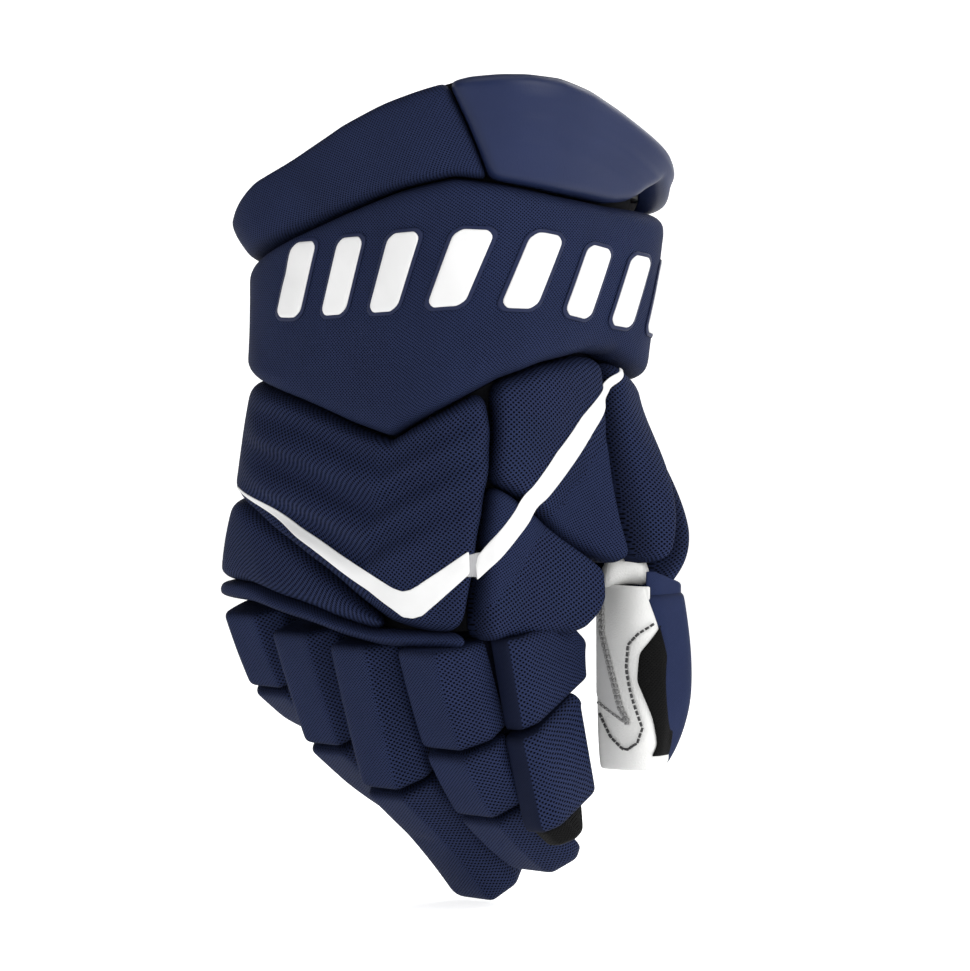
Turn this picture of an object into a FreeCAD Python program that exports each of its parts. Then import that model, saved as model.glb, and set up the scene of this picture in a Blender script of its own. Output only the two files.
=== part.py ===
"""A right-hand ice hockey glove, size 14 inch, as an assembly of its sewn pieces. Millimetres.

The row frame stands on the centre of the hand entry, the mouth of the cuff: +Z points up the wearer's forearm, so the
fingers hang towards -Z. The back of the hand faces -Y, the palm +Y, and the thumb is on the +X side.

The hand part is a tube of lining with panels sewn round it. A place on it is given by an angle round the tube
(0 the thumb side, -90 the back of the hand, 180 the little-finger side, 90 the palm), a height and how far it stands
off the lining. Each finger is a row of stiff segments that fold at hinge lines on its palm side, where the leather
bends. A segment is a gusset channel over the finger, a palm strip under it and a foam roll on its back.
"""

import FreeCAD, Part
import math
import os

from FreeCAD import Placement, Rotation, Vector

# ---- driving dimensions ----------------------------------------------------------------------------------------
# The lining's outside at each height: height, half width, half depth, centre x, centre y.
LINING_LEVELS = (
    (60, 71, 61, 6, 22),
    (20, 68, 58, 6, 22),
    (-20, 63, 53, 6, 21),
    (-60, 61, 50, 5, 19),
    (-100, 63, 46, 2, 14),
    (-140, 63, 31, -3, 0),
    (-180, 62, 19, -7, -11),
    (-220, 62, 17, -7, -13),
)
SQUARENESS = 3.6  # exponent of the tube's section: 2 is an ellipse, more is squarer
LINING_WALL = 2.0
FIT = 0.3  # between pieces that are sewn or glued face to face
SEAM = 0.6  # between the rims of neighbouring panels
WRIST_SEAM = 1.2  # between the cuff and the hand part, which it tilts on

PLATE = 2.4  # the plastic inserts
CUFF_ROLL = 12.0
THUMB_SHELL = 15.0
WRIST_BAND = 16.0
BACK_PAD = 13.0
KNUCKLE_ROLL = 12.0
SIDE_PAD = 12.0
PALM_LEATHER = 1.8
PALM_PATCH = 1.6

ROOT_SWELL = 50.0  # how much further the panels stand off at most where they pass over the thumb's root

GUSSET_WALL = 1.8
STALL_LEATHER = 2.0
ROLL_CORNER = 8.0  # radius on the two long edges of a finger roll
RELIEF = 3.0  # degrees that each segment's end is cut back, so that a finger can straighten a little
HINGE_GAP = 0.3  # between the palm edges of two segments

# Each finger: centre x, outside y of its first roll, height of the knuckle crease, roll width, and per segment
# (tilt from straight down towards the palm, length along the back, whole depth).
FINGERS = {
    "index": (41.5, -42.0, -180.0, 32.0, ((22, 47, 54), (37, 35, 48), (54, 38, 41))),
    "middle": (6.5, -43.0, -179.5, 31.0, ((19, 66, 57), (55, 66, 49))),
    "ring": (-26.5, -41.5, -176.0, 30.0, ((24, 55, 57), (57, 57, 49))),
    "little": (-57.5, -37.5, -170.0, 28.0, ((28, 39, 54), (58, 44, 46))),
}
ROLL_SHARE = 0.38  # of a segment's depth that is foam roll
STALL_SIDE = 2.5  # the roll is this much wider than the stall, each side
FINGER_BAYS = {"index": (24.0, 90.0), "middle": (-10.0, 24.0), "ring": (-42.5, -10.0), "little": (-90.0, -42.5)}
TIP_SLOPE = 38.0  # degrees that the last roll runs down towards the fingertip

INDEX_SIDE_OUT = 70.0  # x of the outside of the pads on the index finger's thumb side
SIDE_OVERHANG = 6.0  # how far they hang past the finger's palm face
SIDE_SETBACK = 14.0  # and how far they start below its back

THUMB_X = (71.3, 97.0)
THUMB_Y = (34.0, 60.0)
THUMB_HINGE = -160.0
THUMB_END = -231.0
THUMB_PAD = 6.0

OUT = "parts"


# ---- the hand part's form --------------------------------------------------------------------------------------
def smooth_between(before, start, end, after, t):
    """One value between start and end, on a curve that also heeds the values beside them."""
    return 0.5 * (
        2 * start
        + (end - before) * t
        + (2 * before - 5 * start + 4 * end - after) * t * t
        + (3 * start - before - 3 * end + after) * t**3
    )


def smooth_step(low, high, value):
    """0 up to low and 1 from high on, with a soft start and end."""
    t = min(max((value - low) / (high - low), 0.0), 1.0)
    return t * t * (3 - 2 * t)


def broken_line(*knots):
    """A function that runs straight between (place, value) knots and stays level outside them."""

    def value(place):
        if place <= knots[0][0]:
            return knots[0][1]
        for (a, low), (b, high) in zip(knots, knots[1:]):
            if place <= b:
                return low + (high - low) * (place - a) / (b - a)
        return knots[-1][1]

    return value


def lining_at(z):
    """Half width, half depth, centre x and centre y of the lining's outside at a height."""
    last = len(LINING_LEVELS) - 1
    k = next((i for i in range(last) if z >= LINING_LEVELS[i + 1][0]), last - 1)
    top, low = LINING_LEVELS[k], LINING_LEVELS[k + 1]
    t = min(max((top[0] - z) / (top[0] - low[0]), 0), 1)
    before, after = LINING_LEVELS[max(k - 1, 0)], LINING_LEVELS[min(k + 2, last)]
    return [smooth_between(before[i], top[i], low[i], after[i], t) for i in range(1, 5)]


def thumb_root(angle, z):
    """How much further the panels stand off the lining where they pass over the thumb's root."""
    around = (angle + 180) % 360 - 180
    side = smooth_step(2, 31, around) ** 1.4 * (1 - smooth_step(33, 63, around))
    return ROOT_SWELL * side * smooth_step(-75, -155, z) * smooth_step(-176, -157, z)


def on_form(angle, z, out, swell_to=180.0):
    """The point at an angle round the tube and a height, out from the lining. Past the angle swell_to the thumb's
    root swells the form no further."""
    half_width, half_depth, x, y = lining_at(z)
    c, s = math.cos(math.radians(angle)), math.sin(math.radians(angle))
    radius = (abs(c / half_width) ** SQUARENESS + abs(s / half_depth) ** SQUARENESS) ** (-1 / SQUARENESS)
    facing_x = math.copysign(abs(c / half_width) ** (SQUARENESS - 1) / half_width, c)
    facing_y = math.copysign(abs(s / half_depth) ** (SQUARENESS - 1) / half_depth, s)
    slant = (facing_x * c + facing_y * s) / math.hypot(facing_x, facing_y)
    radius += out / max(slant, 0.75)
    radius += thumb_root(min(angle, swell_to), z)
    return Vector(x + radius * c, y + radius * s, z)


def lowered(edge, by):
    """The same edge, further down."""
    return lambda angle: edge(angle) - by


def level(z):
    """A level edge."""
    return lambda angle: z


def solid_of(faces):
    """One closed solid of these faces."""
    shell = Part.makeShell(faces)
    shell.sewShape()
    solid = Part.makeSolid(shell)
    if solid.Volume < 0:
        solid.reverse()
    return solid


def panel(left, right, top, bottom, inner, outer, columns=13, rows=7, swell_to=180.0):
    """A panel sewn to the form. left and right are its angles at its upper and lower end, top and bottom its edges,
    inner and outer how far its two faces stand off the lining, as a number or a function of angle and height."""

    def skin(face):
        out = face if callable(face) else (lambda angle, z: face)
        grid = []
        for i in range(columns):
            s, column = i / (columns - 1), []
            for j in range(rows):
                t = j / (rows - 1)
                start, end = left[0] + (left[1] - left[0]) * t, right[0] + (right[1] - right[0]) * t
                angle = start + (end - start) * s
                z = top(angle) * (1 - t) + bottom(angle) * t
                column.append(on_form(angle, z, out(angle, z), swell_to))
            grid.append(column)
        surface = Part.BSplineSurface()
        surface.interpolate(grid)
        return surface

    low, high = skin(inner), skin(outer)
    u0, u1, v0, v1 = low.bounds()
    faces = [low.toShape(), high.toShape()]
    for cut, value in (("uIso", u0), ("uIso", u1), ("vIso", v0), ("vIso", v1)):
        faces.append(
            Part.makeRuledSurface(getattr(low, cut)(value).toShape(), getattr(high, cut)(value).toShape(), 1)
        )
    return solid_of(faces)


# ---- lines shared by neighbouring panels, each as (angle, height) -----------------------------------------------
WRAP = -213  # where the back's panels end, on the palm side of the little finger
CUFF_END = 66  # where the cuff's panels end, on the palm side of the thumb
CUFF_TOP = broken_line(
    (-213, -27), (-170, -20), (-140, -9), (-127, 4), (-108, 16), (-91, 26), (-74, 34), (-60, 39.5), (-46, 44.5),
    (-38, 45.5), (-31, 45.5), (-21, 44), (-10, 39.5), (3, 32), (17, 23), (31, 14), (66, 6),
)
BAND_TOP = broken_line(
    (-213, -42), (-170, -36), (-140, -29), (-116, -18), (-96, -10), (-68, 0), (-50, 5), (-38, 3), (-19, -2),
    (3, -6), (27, -9), (66, -14),
)
BAND_BOTTOM = broken_line(
    (-213, -75), (-141, -76), (-112, -84.5), (-87, -92.5), (-67, -97.5), (-48, -84.5), (-34, -74), (-20, -68),
    (-2, -64.5), (12, -65.5), (27, -73), (35, -77), (70, -78),
)
BACK_BOTTOM = broken_line(
    (-213, -120), (-144, -122), (-127, -134.5), (-107, -148), (-80, -160), (-57, -169.5), (-41, -173), (-22, -174),
)
LOW_PAD_BOTTOM = broken_line((-213, -158), (-148, -159), (-128, -164), (-89, -170), (-56, -173.8), (-22, -174.4))
ROLL_BOTTOM = broken_line((-213, -163), (-148, -165), (-123, -170), (-81, -175.5), (-45, -179), (-22, -179.5))
SIDE_SPLIT = broken_line((-34, -111), (-19, -120), (-3, -130), (17.5, -148), (24, -150))
SIDE_BOTTOM = broken_line((-20, -178), (16, -177), (40, -171))
ROOT_TOP, ROOT_BOTTOM = -97.0, THUMB_HINGE + 0.2
BACK_EDGE = (-41.0, -30.0, -23.0)  # the channel beside the back of the hand: at the band, half way, at the knuckles
SIDE_EDGE = (-36.5, -30.5, -18.5)


def side_wedge(angle, z):
    """How far the lower side pad stands off: it thickens towards the thumb's root and the index finger's side."""
    return SIDE_PAD + 11.0 * smooth_step(-8, 20, angle) * smooth_step(-186, -150, z)


def clear_of_fingers(shape):
    """A piece of the hand part, cut back to the line where each finger folds."""
    for name, (x0, x1) in FINGER_BAYS.items():
        corners, hinges = finger_line(name)
        shape = shape.cut(beyond(hinges[0] - along(corners[0][1]) * (HINGE_GAP / 2), corners[0][1], -RELIEF, x0, x1))
    return shape


def thumb_window():
    """The hole in the lining that the thumb goes through."""
    return Part.makeBox(60, 60, 50, Vector(28, 16, -148))


def hand_pieces():
    """Every piece of the hand part."""
    under_band = lowered(BAND_BOTTOM, WRIST_SEAM)
    on_plate, on_leather = 2 * FIT + PLATE, 2 * FIT + PALM_LEATHER
    made = {
        "hand_lining": panel(
            (-271, -271), (88, 88), under_band, level(-205), -LINING_WALL, 0, columns=73, rows=15, swell_to=-180.0
        ).cut(thumb_window()),
        "backhand_plate": panel(
            (-130, -112), (-52, -44), lowered(BAND_BOTTOM, 6), lowered(BACK_BOTTOM, -6), FIT, FIT + PLATE, columns=21
        ),
        "backhand_pad": panel(
            (WRAP, WRAP + 6), (BACK_EDGE[0], BACK_EDGE[2]), under_band, BACK_BOTTOM, on_plate, BACK_PAD,
            columns=41, rows=9,
        ),
        "backhand_lower_pad": panel(
            (WRAP + 6, WRAP + 13), (-62, -60), lowered(BACK_BOTTOM, SEAM), LOW_PAD_BOTTOM, FIT, BACK_PAD, columns=33
        ),
        "knuckle_roll": panel(
            (WRAP + 13, WRAP + 15), (-24, -23), lowered(LOW_PAD_BOTTOM, SEAM), ROLL_BOTTOM, FIT, KNUCKLE_ROLL, columns=41
        ),
        "side_upper_pad": panel(
            (SIDE_EDGE[0], SIDE_EDGE[1]), (8.5, 20.5), under_band, SIDE_SPLIT, FIT, SIDE_PAD, columns=17, rows=9
        ),
        "thumb_side_roll": panel((12, 21.7), (36, 25), under_band, level(-149), FIT, SIDE_PAD, columns=9, rows=11),
        "side_lower_pad": panel(
            (SIDE_EDGE[1], SIDE_EDGE[2]), (17, 19), lowered(SIDE_SPLIT, SEAM), SIDE_BOTTOM, FIT, side_wedge,
            columns=21, rows=9, swell_to=-180.0,
        ),
        "thumb_saddle": panel((37.5, 37.5), (66, 66), under_band, level(ROOT_TOP), FIT, 9.0, columns=9),
        "thumb_root_pad": panel(
            (37.5, 26), (46, 46), level(ROOT_TOP - SEAM), level(ROOT_BOTTOM), FIT, SIDE_PAD, columns=11, rows=11
        ),
        "thumb_root_leather": panel(
            (46.6, 46.6), (63, 63), level(ROOT_TOP - SEAM), level(ROOT_BOTTOM), FIT, 2.6, columns=9, rows=9
        ),
        "crotch_leather": panel(
            (42, 20), (63, 63), level(ROOT_BOTTOM - SEAM), level(-182), FIT, FIT + PALM_LEATHER, rows=9
        ),
        "palm_leather": panel(
            (66.6, 63.6), (145.5, 165.0), level(-70), level(-205), FIT, FIT + PALM_LEATHER, columns=21, rows=15
        ),
        "palm_patch": panel((72, 68), (134, 130), level(-102), level(-158), on_leather, on_leather + PALM_PATCH),
    }
    for name in (
        "hand_lining", "backhand_lower_pad", "knuckle_roll", "side_lower_pad", "crotch_leather", "palm_leather",
    ):
        made[name] = clear_of_fingers(made[name])
    return made


def cuff_pieces():
    """Every piece of the cuff, which tilts as one on the palm side of the wrist."""
    over_band, on_plate = lowered(BAND_TOP, -SEAM), 2 * FIT + PLATE
    return {
        "cuff_lining": panel(
            (WRAP, WRAP), (CUFF_END, CUFF_END), lowered(CUFF_TOP, 3), lowered(BAND_BOTTOM, -2),
            -LINING_WALL, 0, columns=57, rows=9,
        ),
        "wrist_band": panel((WRAP, WRAP), (CUFF_END, CUFF_END), BAND_TOP, BAND_BOTTOM, FIT, WRIST_BAND, columns=57),
        "cuff_back_roll": panel((WRAP, WRAP), (-53, -41), CUFF_TOP, over_band, on_plate, CUFF_ROLL, columns=33),
        "cuff_back_plate": panel(
            (-132, -112), (-62, -56), lowered(CUFF_TOP, 5), lowered(over_band, -5), FIT, FIT + PLATE
        ),
        "cuff_thumb_shell": panel(
            (-51, -39), (CUFF_END, CUFF_END), CUFF_TOP, over_band, on_plate, THUMB_SHELL, columns=25
        ),
        "cuff_thumb_plate": panel(
            (-44, -32), (44, 44), lowered(CUFF_TOP, 5), lowered(over_band, -5), FIT, FIT + PLATE
        ),
        "cuff_elastic": panel((66.8, 66.8), (146.2, 146.2), level(-42), level(-66), FIT, 2.0, columns=17),
    }


# ---- fingers ---------------------------------------------------------------------------------------------------
def along(tilt):
    """The way a segment points, tilted from straight down towards the palm."""
    return Vector(0, math.sin(math.radians(tilt)), -math.cos(math.radians(tilt)))


def backward(tilt):
    """The way a segment's back faces."""
    return Vector(0, -math.cos(math.radians(tilt)), -math.sin(math.radians(tilt)))


def segment_place(x, back_point, tilt, depth):
    """Local x across the finger, local y out of its back from its palm face, local z along it from back_point."""
    origin = back_point - backward(tilt) * depth
    return Placement(Vector(x, origin.y, origin.z), Rotation(Vector(1, 0, 0), 180 + tilt))


def beyond(hinge, tilt, turn, x0=-200.0, x1=200.0):
    """Everything between two x further along a finger than the plane through the hinge line at this tilt, turned by
    turn degrees."""
    box = Part.makeBox(x1 - x0, 400, 300, Vector(x0, -200, 0))
    box.Placement = Placement(Vector(0, hinge.y, hinge.z), Rotation(Vector(1, 0, 0), 180 + tilt + turn))
    return box


def section_wire(points, z):
    """A closed polygon across a segment."""
    corners = [Vector(x, y, z) for x, y in points]
    return Part.Wire(Part.makePolygon(corners + corners[:1]))


def prism(points, z0, z1):
    """A straight bar of this section."""
    return Part.Face(section_wire(points, z0)).extrude(Vector(0, 0, z1 - z0))


def box_section(x0, x1, y0, y1):
    """A rectangle's corners."""
    return ((x0, y0), (x1, y0), (x1, y1), (x0, y1))


def rounded_bar(width, y0, y1, radius, z0, z1):
    """A bar with its two upper long edges rounded."""
    bar = prism(box_section(-width / 2, width / 2, y0, y1), z0, z1)
    edges = [
        e for e in bar.Edges
        if all(abs(v.Point.y - y1) < 1e-6 for v in e.Vertexes) and abs(e.Vertexes[0].Z - e.Vertexes[1].Z) > 1
    ]
    return bar.makeFillet(radius, edges)


def finger_line(name):
    """Where each segment of a finger starts on its back, the tilt of the plane it starts at, and the hinge there."""
    x, y, z, _, segments = FINGERS[name]
    back_point, last_tilt = Vector(x, y, z), 0.0
    corners, hinges = [], []
    for tilt, length, depth in segments:
        mitre = (tilt + last_tilt) / 2
        down = depth / math.cos(math.radians(tilt - last_tilt) / 2)
        corners.append((back_point, mitre))
        hinges.append(back_point - backward(mitre) * (down + HINGE_GAP))
        back_point, last_tilt = back_point + along(tilt) * length, tilt
    return corners, hinges


def finger(name):
    """The pieces of a finger."""
    x, _, _, width, segments = FINGERS[name]
    corners, hinges = finger_line(name)
    reach, pieces = 60.0, {}
    for k, (tilt, length, depth) in enumerate(segments):
        start, is_last = corners[k][0], k == len(segments) - 1
        place = segment_place(x, start, tilt, depth)
        roll = depth * ROLL_SHARE
        stall, w = depth - roll - FIT, width / 2 - STALL_SIDE
        end = length if is_last else length + reach
        wall = GUSSET_WALL
        gusset = prism(box_section(-w, w, STALL_LEATHER + FIT, stall), -reach, end)
        gusset = gusset.cut(
            prism(box_section(-w + wall, w - wall, 0, stall - wall), -reach - 1, end - (wall if is_last else -1))
        )
        strip = prism(box_section(-w, w, 0, STALL_LEATHER), -reach, end)
        roll_bar = rounded_bar(width, stall + FIT, depth, ROLL_CORNER, -reach, end + (3 if is_last else 0))
        if is_last:
            slope = Part.makeBox(100, 100, 100, Vector(-50, 0, -50))
            slope.Placement = Placement(
                Vector(0, depth - roll * 0.12, length * 0.55), Rotation(Vector(1, 0, 0), -TIP_SLOPE * 0.5)
            )
            roll_bar = roll_bar.cut(slope)
        gap = along(corners[k][1]) * (HINGE_GAP / 2)
        keep = beyond(hinges[k] + gap, corners[k][1], RELIEF)
        for label, shape in (("roll", roll_bar), ("gusset", gusset), ("strip", strip)):
            shape = shape.transformGeometry(place.toMatrix()).common(keep)
            if not is_last:
                gap = along(corners[k + 1][1]) * (HINGE_GAP / 2)
                shape = shape.cut(beyond(hinges[k + 1] - gap, corners[k + 1][1], -RELIEF))
            pieces[f"{name}_{label}_{k + 1}"] = shape
    return pieces


def index_side_pads():
    """The two pads on the thumb side of the index finger: one on its first segment, one on its second that also
    covers the side of its tip."""
    x, _, _, width, segments = FINGERS["index"]
    corners, hinges = finger_line("index")
    inside, made = x + width / 2 + FIT, {}
    spans = ((segments[0][1] + 60, 45.0), (segments[1][1] + segments[2][1] * 0.8, 60.0))
    for k, (reach, most_flex) in enumerate(spans):
        tilt, _, depth = segments[k]
        back, mitre = corners[k]
        wedge = (
            (inside, -SIDE_OVERHANG), (INDEX_SIDE_OUT, -SIDE_OVERHANG), (INDEX_SIDE_OUT, depth * 0.45),
            (INDEX_SIDE_OUT - 5, depth - SIDE_SETBACK), (inside, depth - SIDE_SETBACK),
        )
        slab = prism(wedge, -40, reach)
        slab = slab.makeFillet(3.0, [e for e in slab.Edges if e.CenterOfMass.x > inside + 1 and e.Length > 60])
        slab = slab.transformGeometry(segment_place(0, back, tilt, depth).toMatrix())
        start = hinges[k] + along(mitre) * (HINGE_GAP / 2)
        slab = slab.common(beyond(start, mitre, RELIEF)).common(beyond(start, mitre, -most_flex - RELIEF))
        if k == 0:
            _, mitre = corners[1]
            slab = slab.cut(beyond(hinges[1] - along(mitre) * (HINGE_GAP / 2), mitre, -RELIEF))
        made[f"index_side_pad_{k + 1}"] = slab
    return made


# ---- thumb -----------------------------------------------------------------------------------------------------
def thumb():
    """The thumb past its root: a stall with an L of padding round its back and outside, a plastic splint under the
    padding, and a leather palm face that looks at the fingers."""
    (x0, x1), (y0, y1) = THUMB_X, THUMB_Y
    z1 = THUMB_HINGE - HINGE_GAP / 2
    long, wall, face, pad = z1 - THUMB_END, GUSSET_WALL, STALL_LEATHER, THUMB_PAD
    inner = pad + PLATE + 2 * FIT
    sx, sy = x1 - inner, y1 - inner

    def block(xa, xb, ya, yb, low=0.0):
        return Part.makeBox(xb - xa, yb - ya, long - low, Vector(xa, ya, THUMB_END + low))

    stall = block(x0, sx, y0 + face + FIT, sy, pad).cut(block(x0 + wall, sx - wall, y0, sy - wall, pad + wall))
    palm_face = block(x0, sx, y0, y0 + face, pad)
    splint = block(x0 + 5, sx + FIT + PLATE, y0 + 8, sy + FIT + PLATE, pad + 4).cut(
        block(x0, sx + FIT, y0, sy + FIT, 0)
    )
    shell = block(x0, x1, y0, y1)
    shell = shell.makeFillet(
        7.0, [e for e in shell.Edges if (e.CenterOfMass.x > x1 - 0.1 and e.CenterOfMass.y > y1 - 0.1)
              or (e.CenterOfMass.z < THUMB_END + 0.1 and (e.CenterOfMass.x > x1 - 0.1 or e.CenterOfMass.y > y1 - 0.1))]
    )
    padding = shell.cut(block(x0 - 1, sx + 2 * FIT + PLATE, y0 - 1, sy + 2 * FIT + PLATE, pad - FIT))
    keep = Part.makeBox(300, 400, 300, Vector(-150, -200, -300))
    keep.Placement = Placement(Vector(0, y0, z1), Rotation(Vector(1, 0, 0), -RELIEF))
    pieces = {"thumb_gusset": stall, "thumb_face": palm_face, "thumb_splint": splint, "thumb_pad": padding}
    return {name: shape.common(keep) for name, shape in pieces.items()}


def thumb_web():
    """The leather roll in the crotch of the thumb, sewn to the lower rim of the thumb's root."""
    roll = Part.makeCylinder(3.6, 13.0, Vector(THUMB_X[0] + 0.5, THUMB_Y[0] - 3.0, -152.9), Vector(1, 0.6, 0))
    return roll


def main():
    """Writes one STEP file per node."""
    os.makedirs(OUT, exist_ok=True)
    nodes = hand_pieces()
    nodes.update(cuff_pieces())
    for name in FINGERS:
        nodes.update(finger(name))
        for k, hinge in enumerate(finger_line(name)[1]):
            print(f"{name} hinge {k + 1}: y {hinge.y:.2f} z {hinge.z:.2f}")
    nodes.update(index_side_pads())
    nodes.update(thumb())
    nodes["thumb_web"] = thumb_web()
    for name, shape in nodes.items():
        if not shape.isValid() or shape.Volume < 1:
            print("CHECK", name, shape.isValid(), round(shape.Volume, 1))
        shape.exportStep(os.path.join(OUT, name + ".step"))
    print(len(nodes), "nodes")


main()
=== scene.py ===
"""An ice hockey glove dressed in knit, leather and moulded pieces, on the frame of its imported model.

Sizes in the tables and dataclasses are millimetres in the model's own frame; Tailor turns them into
metres when it makes a mesh. A place on the hand part is an angle round its lining (0 the thumb side,
-90 the back of the hand, 90 the palm), a height and a distance off the lining.
"""

import logging
import math
from collections.abc import Callable, Sequence
from dataclasses import dataclass, field
from enum import Enum

import bmesh
import bpy
import numpy as np
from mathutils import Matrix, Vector
from mathutils.bvhtree import BVHTree


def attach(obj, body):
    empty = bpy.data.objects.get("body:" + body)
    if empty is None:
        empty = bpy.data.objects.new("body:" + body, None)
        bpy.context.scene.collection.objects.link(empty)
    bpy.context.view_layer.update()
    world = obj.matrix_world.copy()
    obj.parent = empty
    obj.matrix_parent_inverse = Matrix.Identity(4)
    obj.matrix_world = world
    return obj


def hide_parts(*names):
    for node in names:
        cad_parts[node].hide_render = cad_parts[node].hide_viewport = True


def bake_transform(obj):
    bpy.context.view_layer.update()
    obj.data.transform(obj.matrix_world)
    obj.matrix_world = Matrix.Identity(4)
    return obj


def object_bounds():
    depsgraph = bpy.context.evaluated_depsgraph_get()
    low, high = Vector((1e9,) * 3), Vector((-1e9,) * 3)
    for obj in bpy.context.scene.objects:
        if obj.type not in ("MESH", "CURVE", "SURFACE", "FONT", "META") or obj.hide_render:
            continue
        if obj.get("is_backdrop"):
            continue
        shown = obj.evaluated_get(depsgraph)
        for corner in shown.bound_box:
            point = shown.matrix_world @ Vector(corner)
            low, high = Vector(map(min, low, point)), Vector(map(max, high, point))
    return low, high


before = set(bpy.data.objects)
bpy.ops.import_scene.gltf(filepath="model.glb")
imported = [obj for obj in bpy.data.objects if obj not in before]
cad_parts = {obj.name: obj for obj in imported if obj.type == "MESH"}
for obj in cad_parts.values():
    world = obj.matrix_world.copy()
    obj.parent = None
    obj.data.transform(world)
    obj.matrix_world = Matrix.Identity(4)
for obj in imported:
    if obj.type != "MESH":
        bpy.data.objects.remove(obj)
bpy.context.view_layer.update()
MM = 0.001
log = logging.getLogger("glove")

Colour = tuple[float, float, float]
Heights = Callable[[np.ndarray], np.ndarray]
Relief = Callable[[np.ndarray, np.ndarray], np.ndarray]


# ---- shader maths --------------------------------------------------------------------------------
class Value:
    """A number that varies over a surface: a socket that Python's operators work on."""

    def __init__(self, bench: "Bench", socket: bpy.types.NodeSocket) -> None:
        """Wraps a socket of a bench's tree."""
        self.bench, self.socket = bench, socket

    def _math(self, operation: str, *others: "Value | float", clamp: bool = False) -> "Value":
        """The result of a Math node on this value and others."""
        node = self.bench.node("ShaderNodeMath", {"operation": operation, "use_clamp": clamp}, self, *others)
        return Value(self.bench, node.outputs[0])

    def _reflected(self, operation: str, other: float) -> "Value":
        """The result of a Math node whose first operand is the plain number."""
        node = self.bench.node("ShaderNodeMath", {"operation": operation}, other, self)
        return Value(self.bench, node.outputs[0])

    def __add__(self, other: "Value | float") -> "Value":
        """Sum."""
        return self._math("ADD", other)

    def __radd__(self, other: float) -> "Value":
        """Sum with a number on the left."""
        return self._math("ADD", other)

    def __sub__(self, other: "Value | float") -> "Value":
        """Difference."""
        return self._math("SUBTRACT", other)

    def __rsub__(self, other: float) -> "Value":
        """Difference from a number."""
        return self._reflected("SUBTRACT", other)

    def __mul__(self, other: "Value | float") -> "Value":
        """Product."""
        return self._math("MULTIPLY", other)

    def __rmul__(self, other: float) -> "Value":
        """Product with a number on the left."""
        return self._math("MULTIPLY", other)

    def __truediv__(self, other: "Value | float") -> "Value":
        """Quotient."""
        return self._math("DIVIDE", other)

    def __rtruediv__(self, other: float) -> "Value":
        """A number divided by this value."""
        return self._reflected("DIVIDE", other)

    def cosine(self) -> "Value":
        """Its cosine."""
        return self._math("COSINE")

    def sine(self) -> "Value":
        """Its sine."""
        return self._math("SINE")

    def size(self) -> "Value":
        """Its absolute value."""
        return self._math("ABSOLUTE")

    def clamped(self) -> "Value":
        """Itself, kept from 0 to 1."""
        return self._math("ADD", 0.0, clamp=True)

    def step(self, low: float, high: float) -> "Value":
        """0 below low and 1 above high, with a soft change between."""
        node = self.bench.node(
            "ShaderNodeMapRange", {"interpolation_type": "SMOOTHSTEP"}, self, low, high, 0.0, 1.0
        )
        return Value(self.bench, node.outputs[0])


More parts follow.
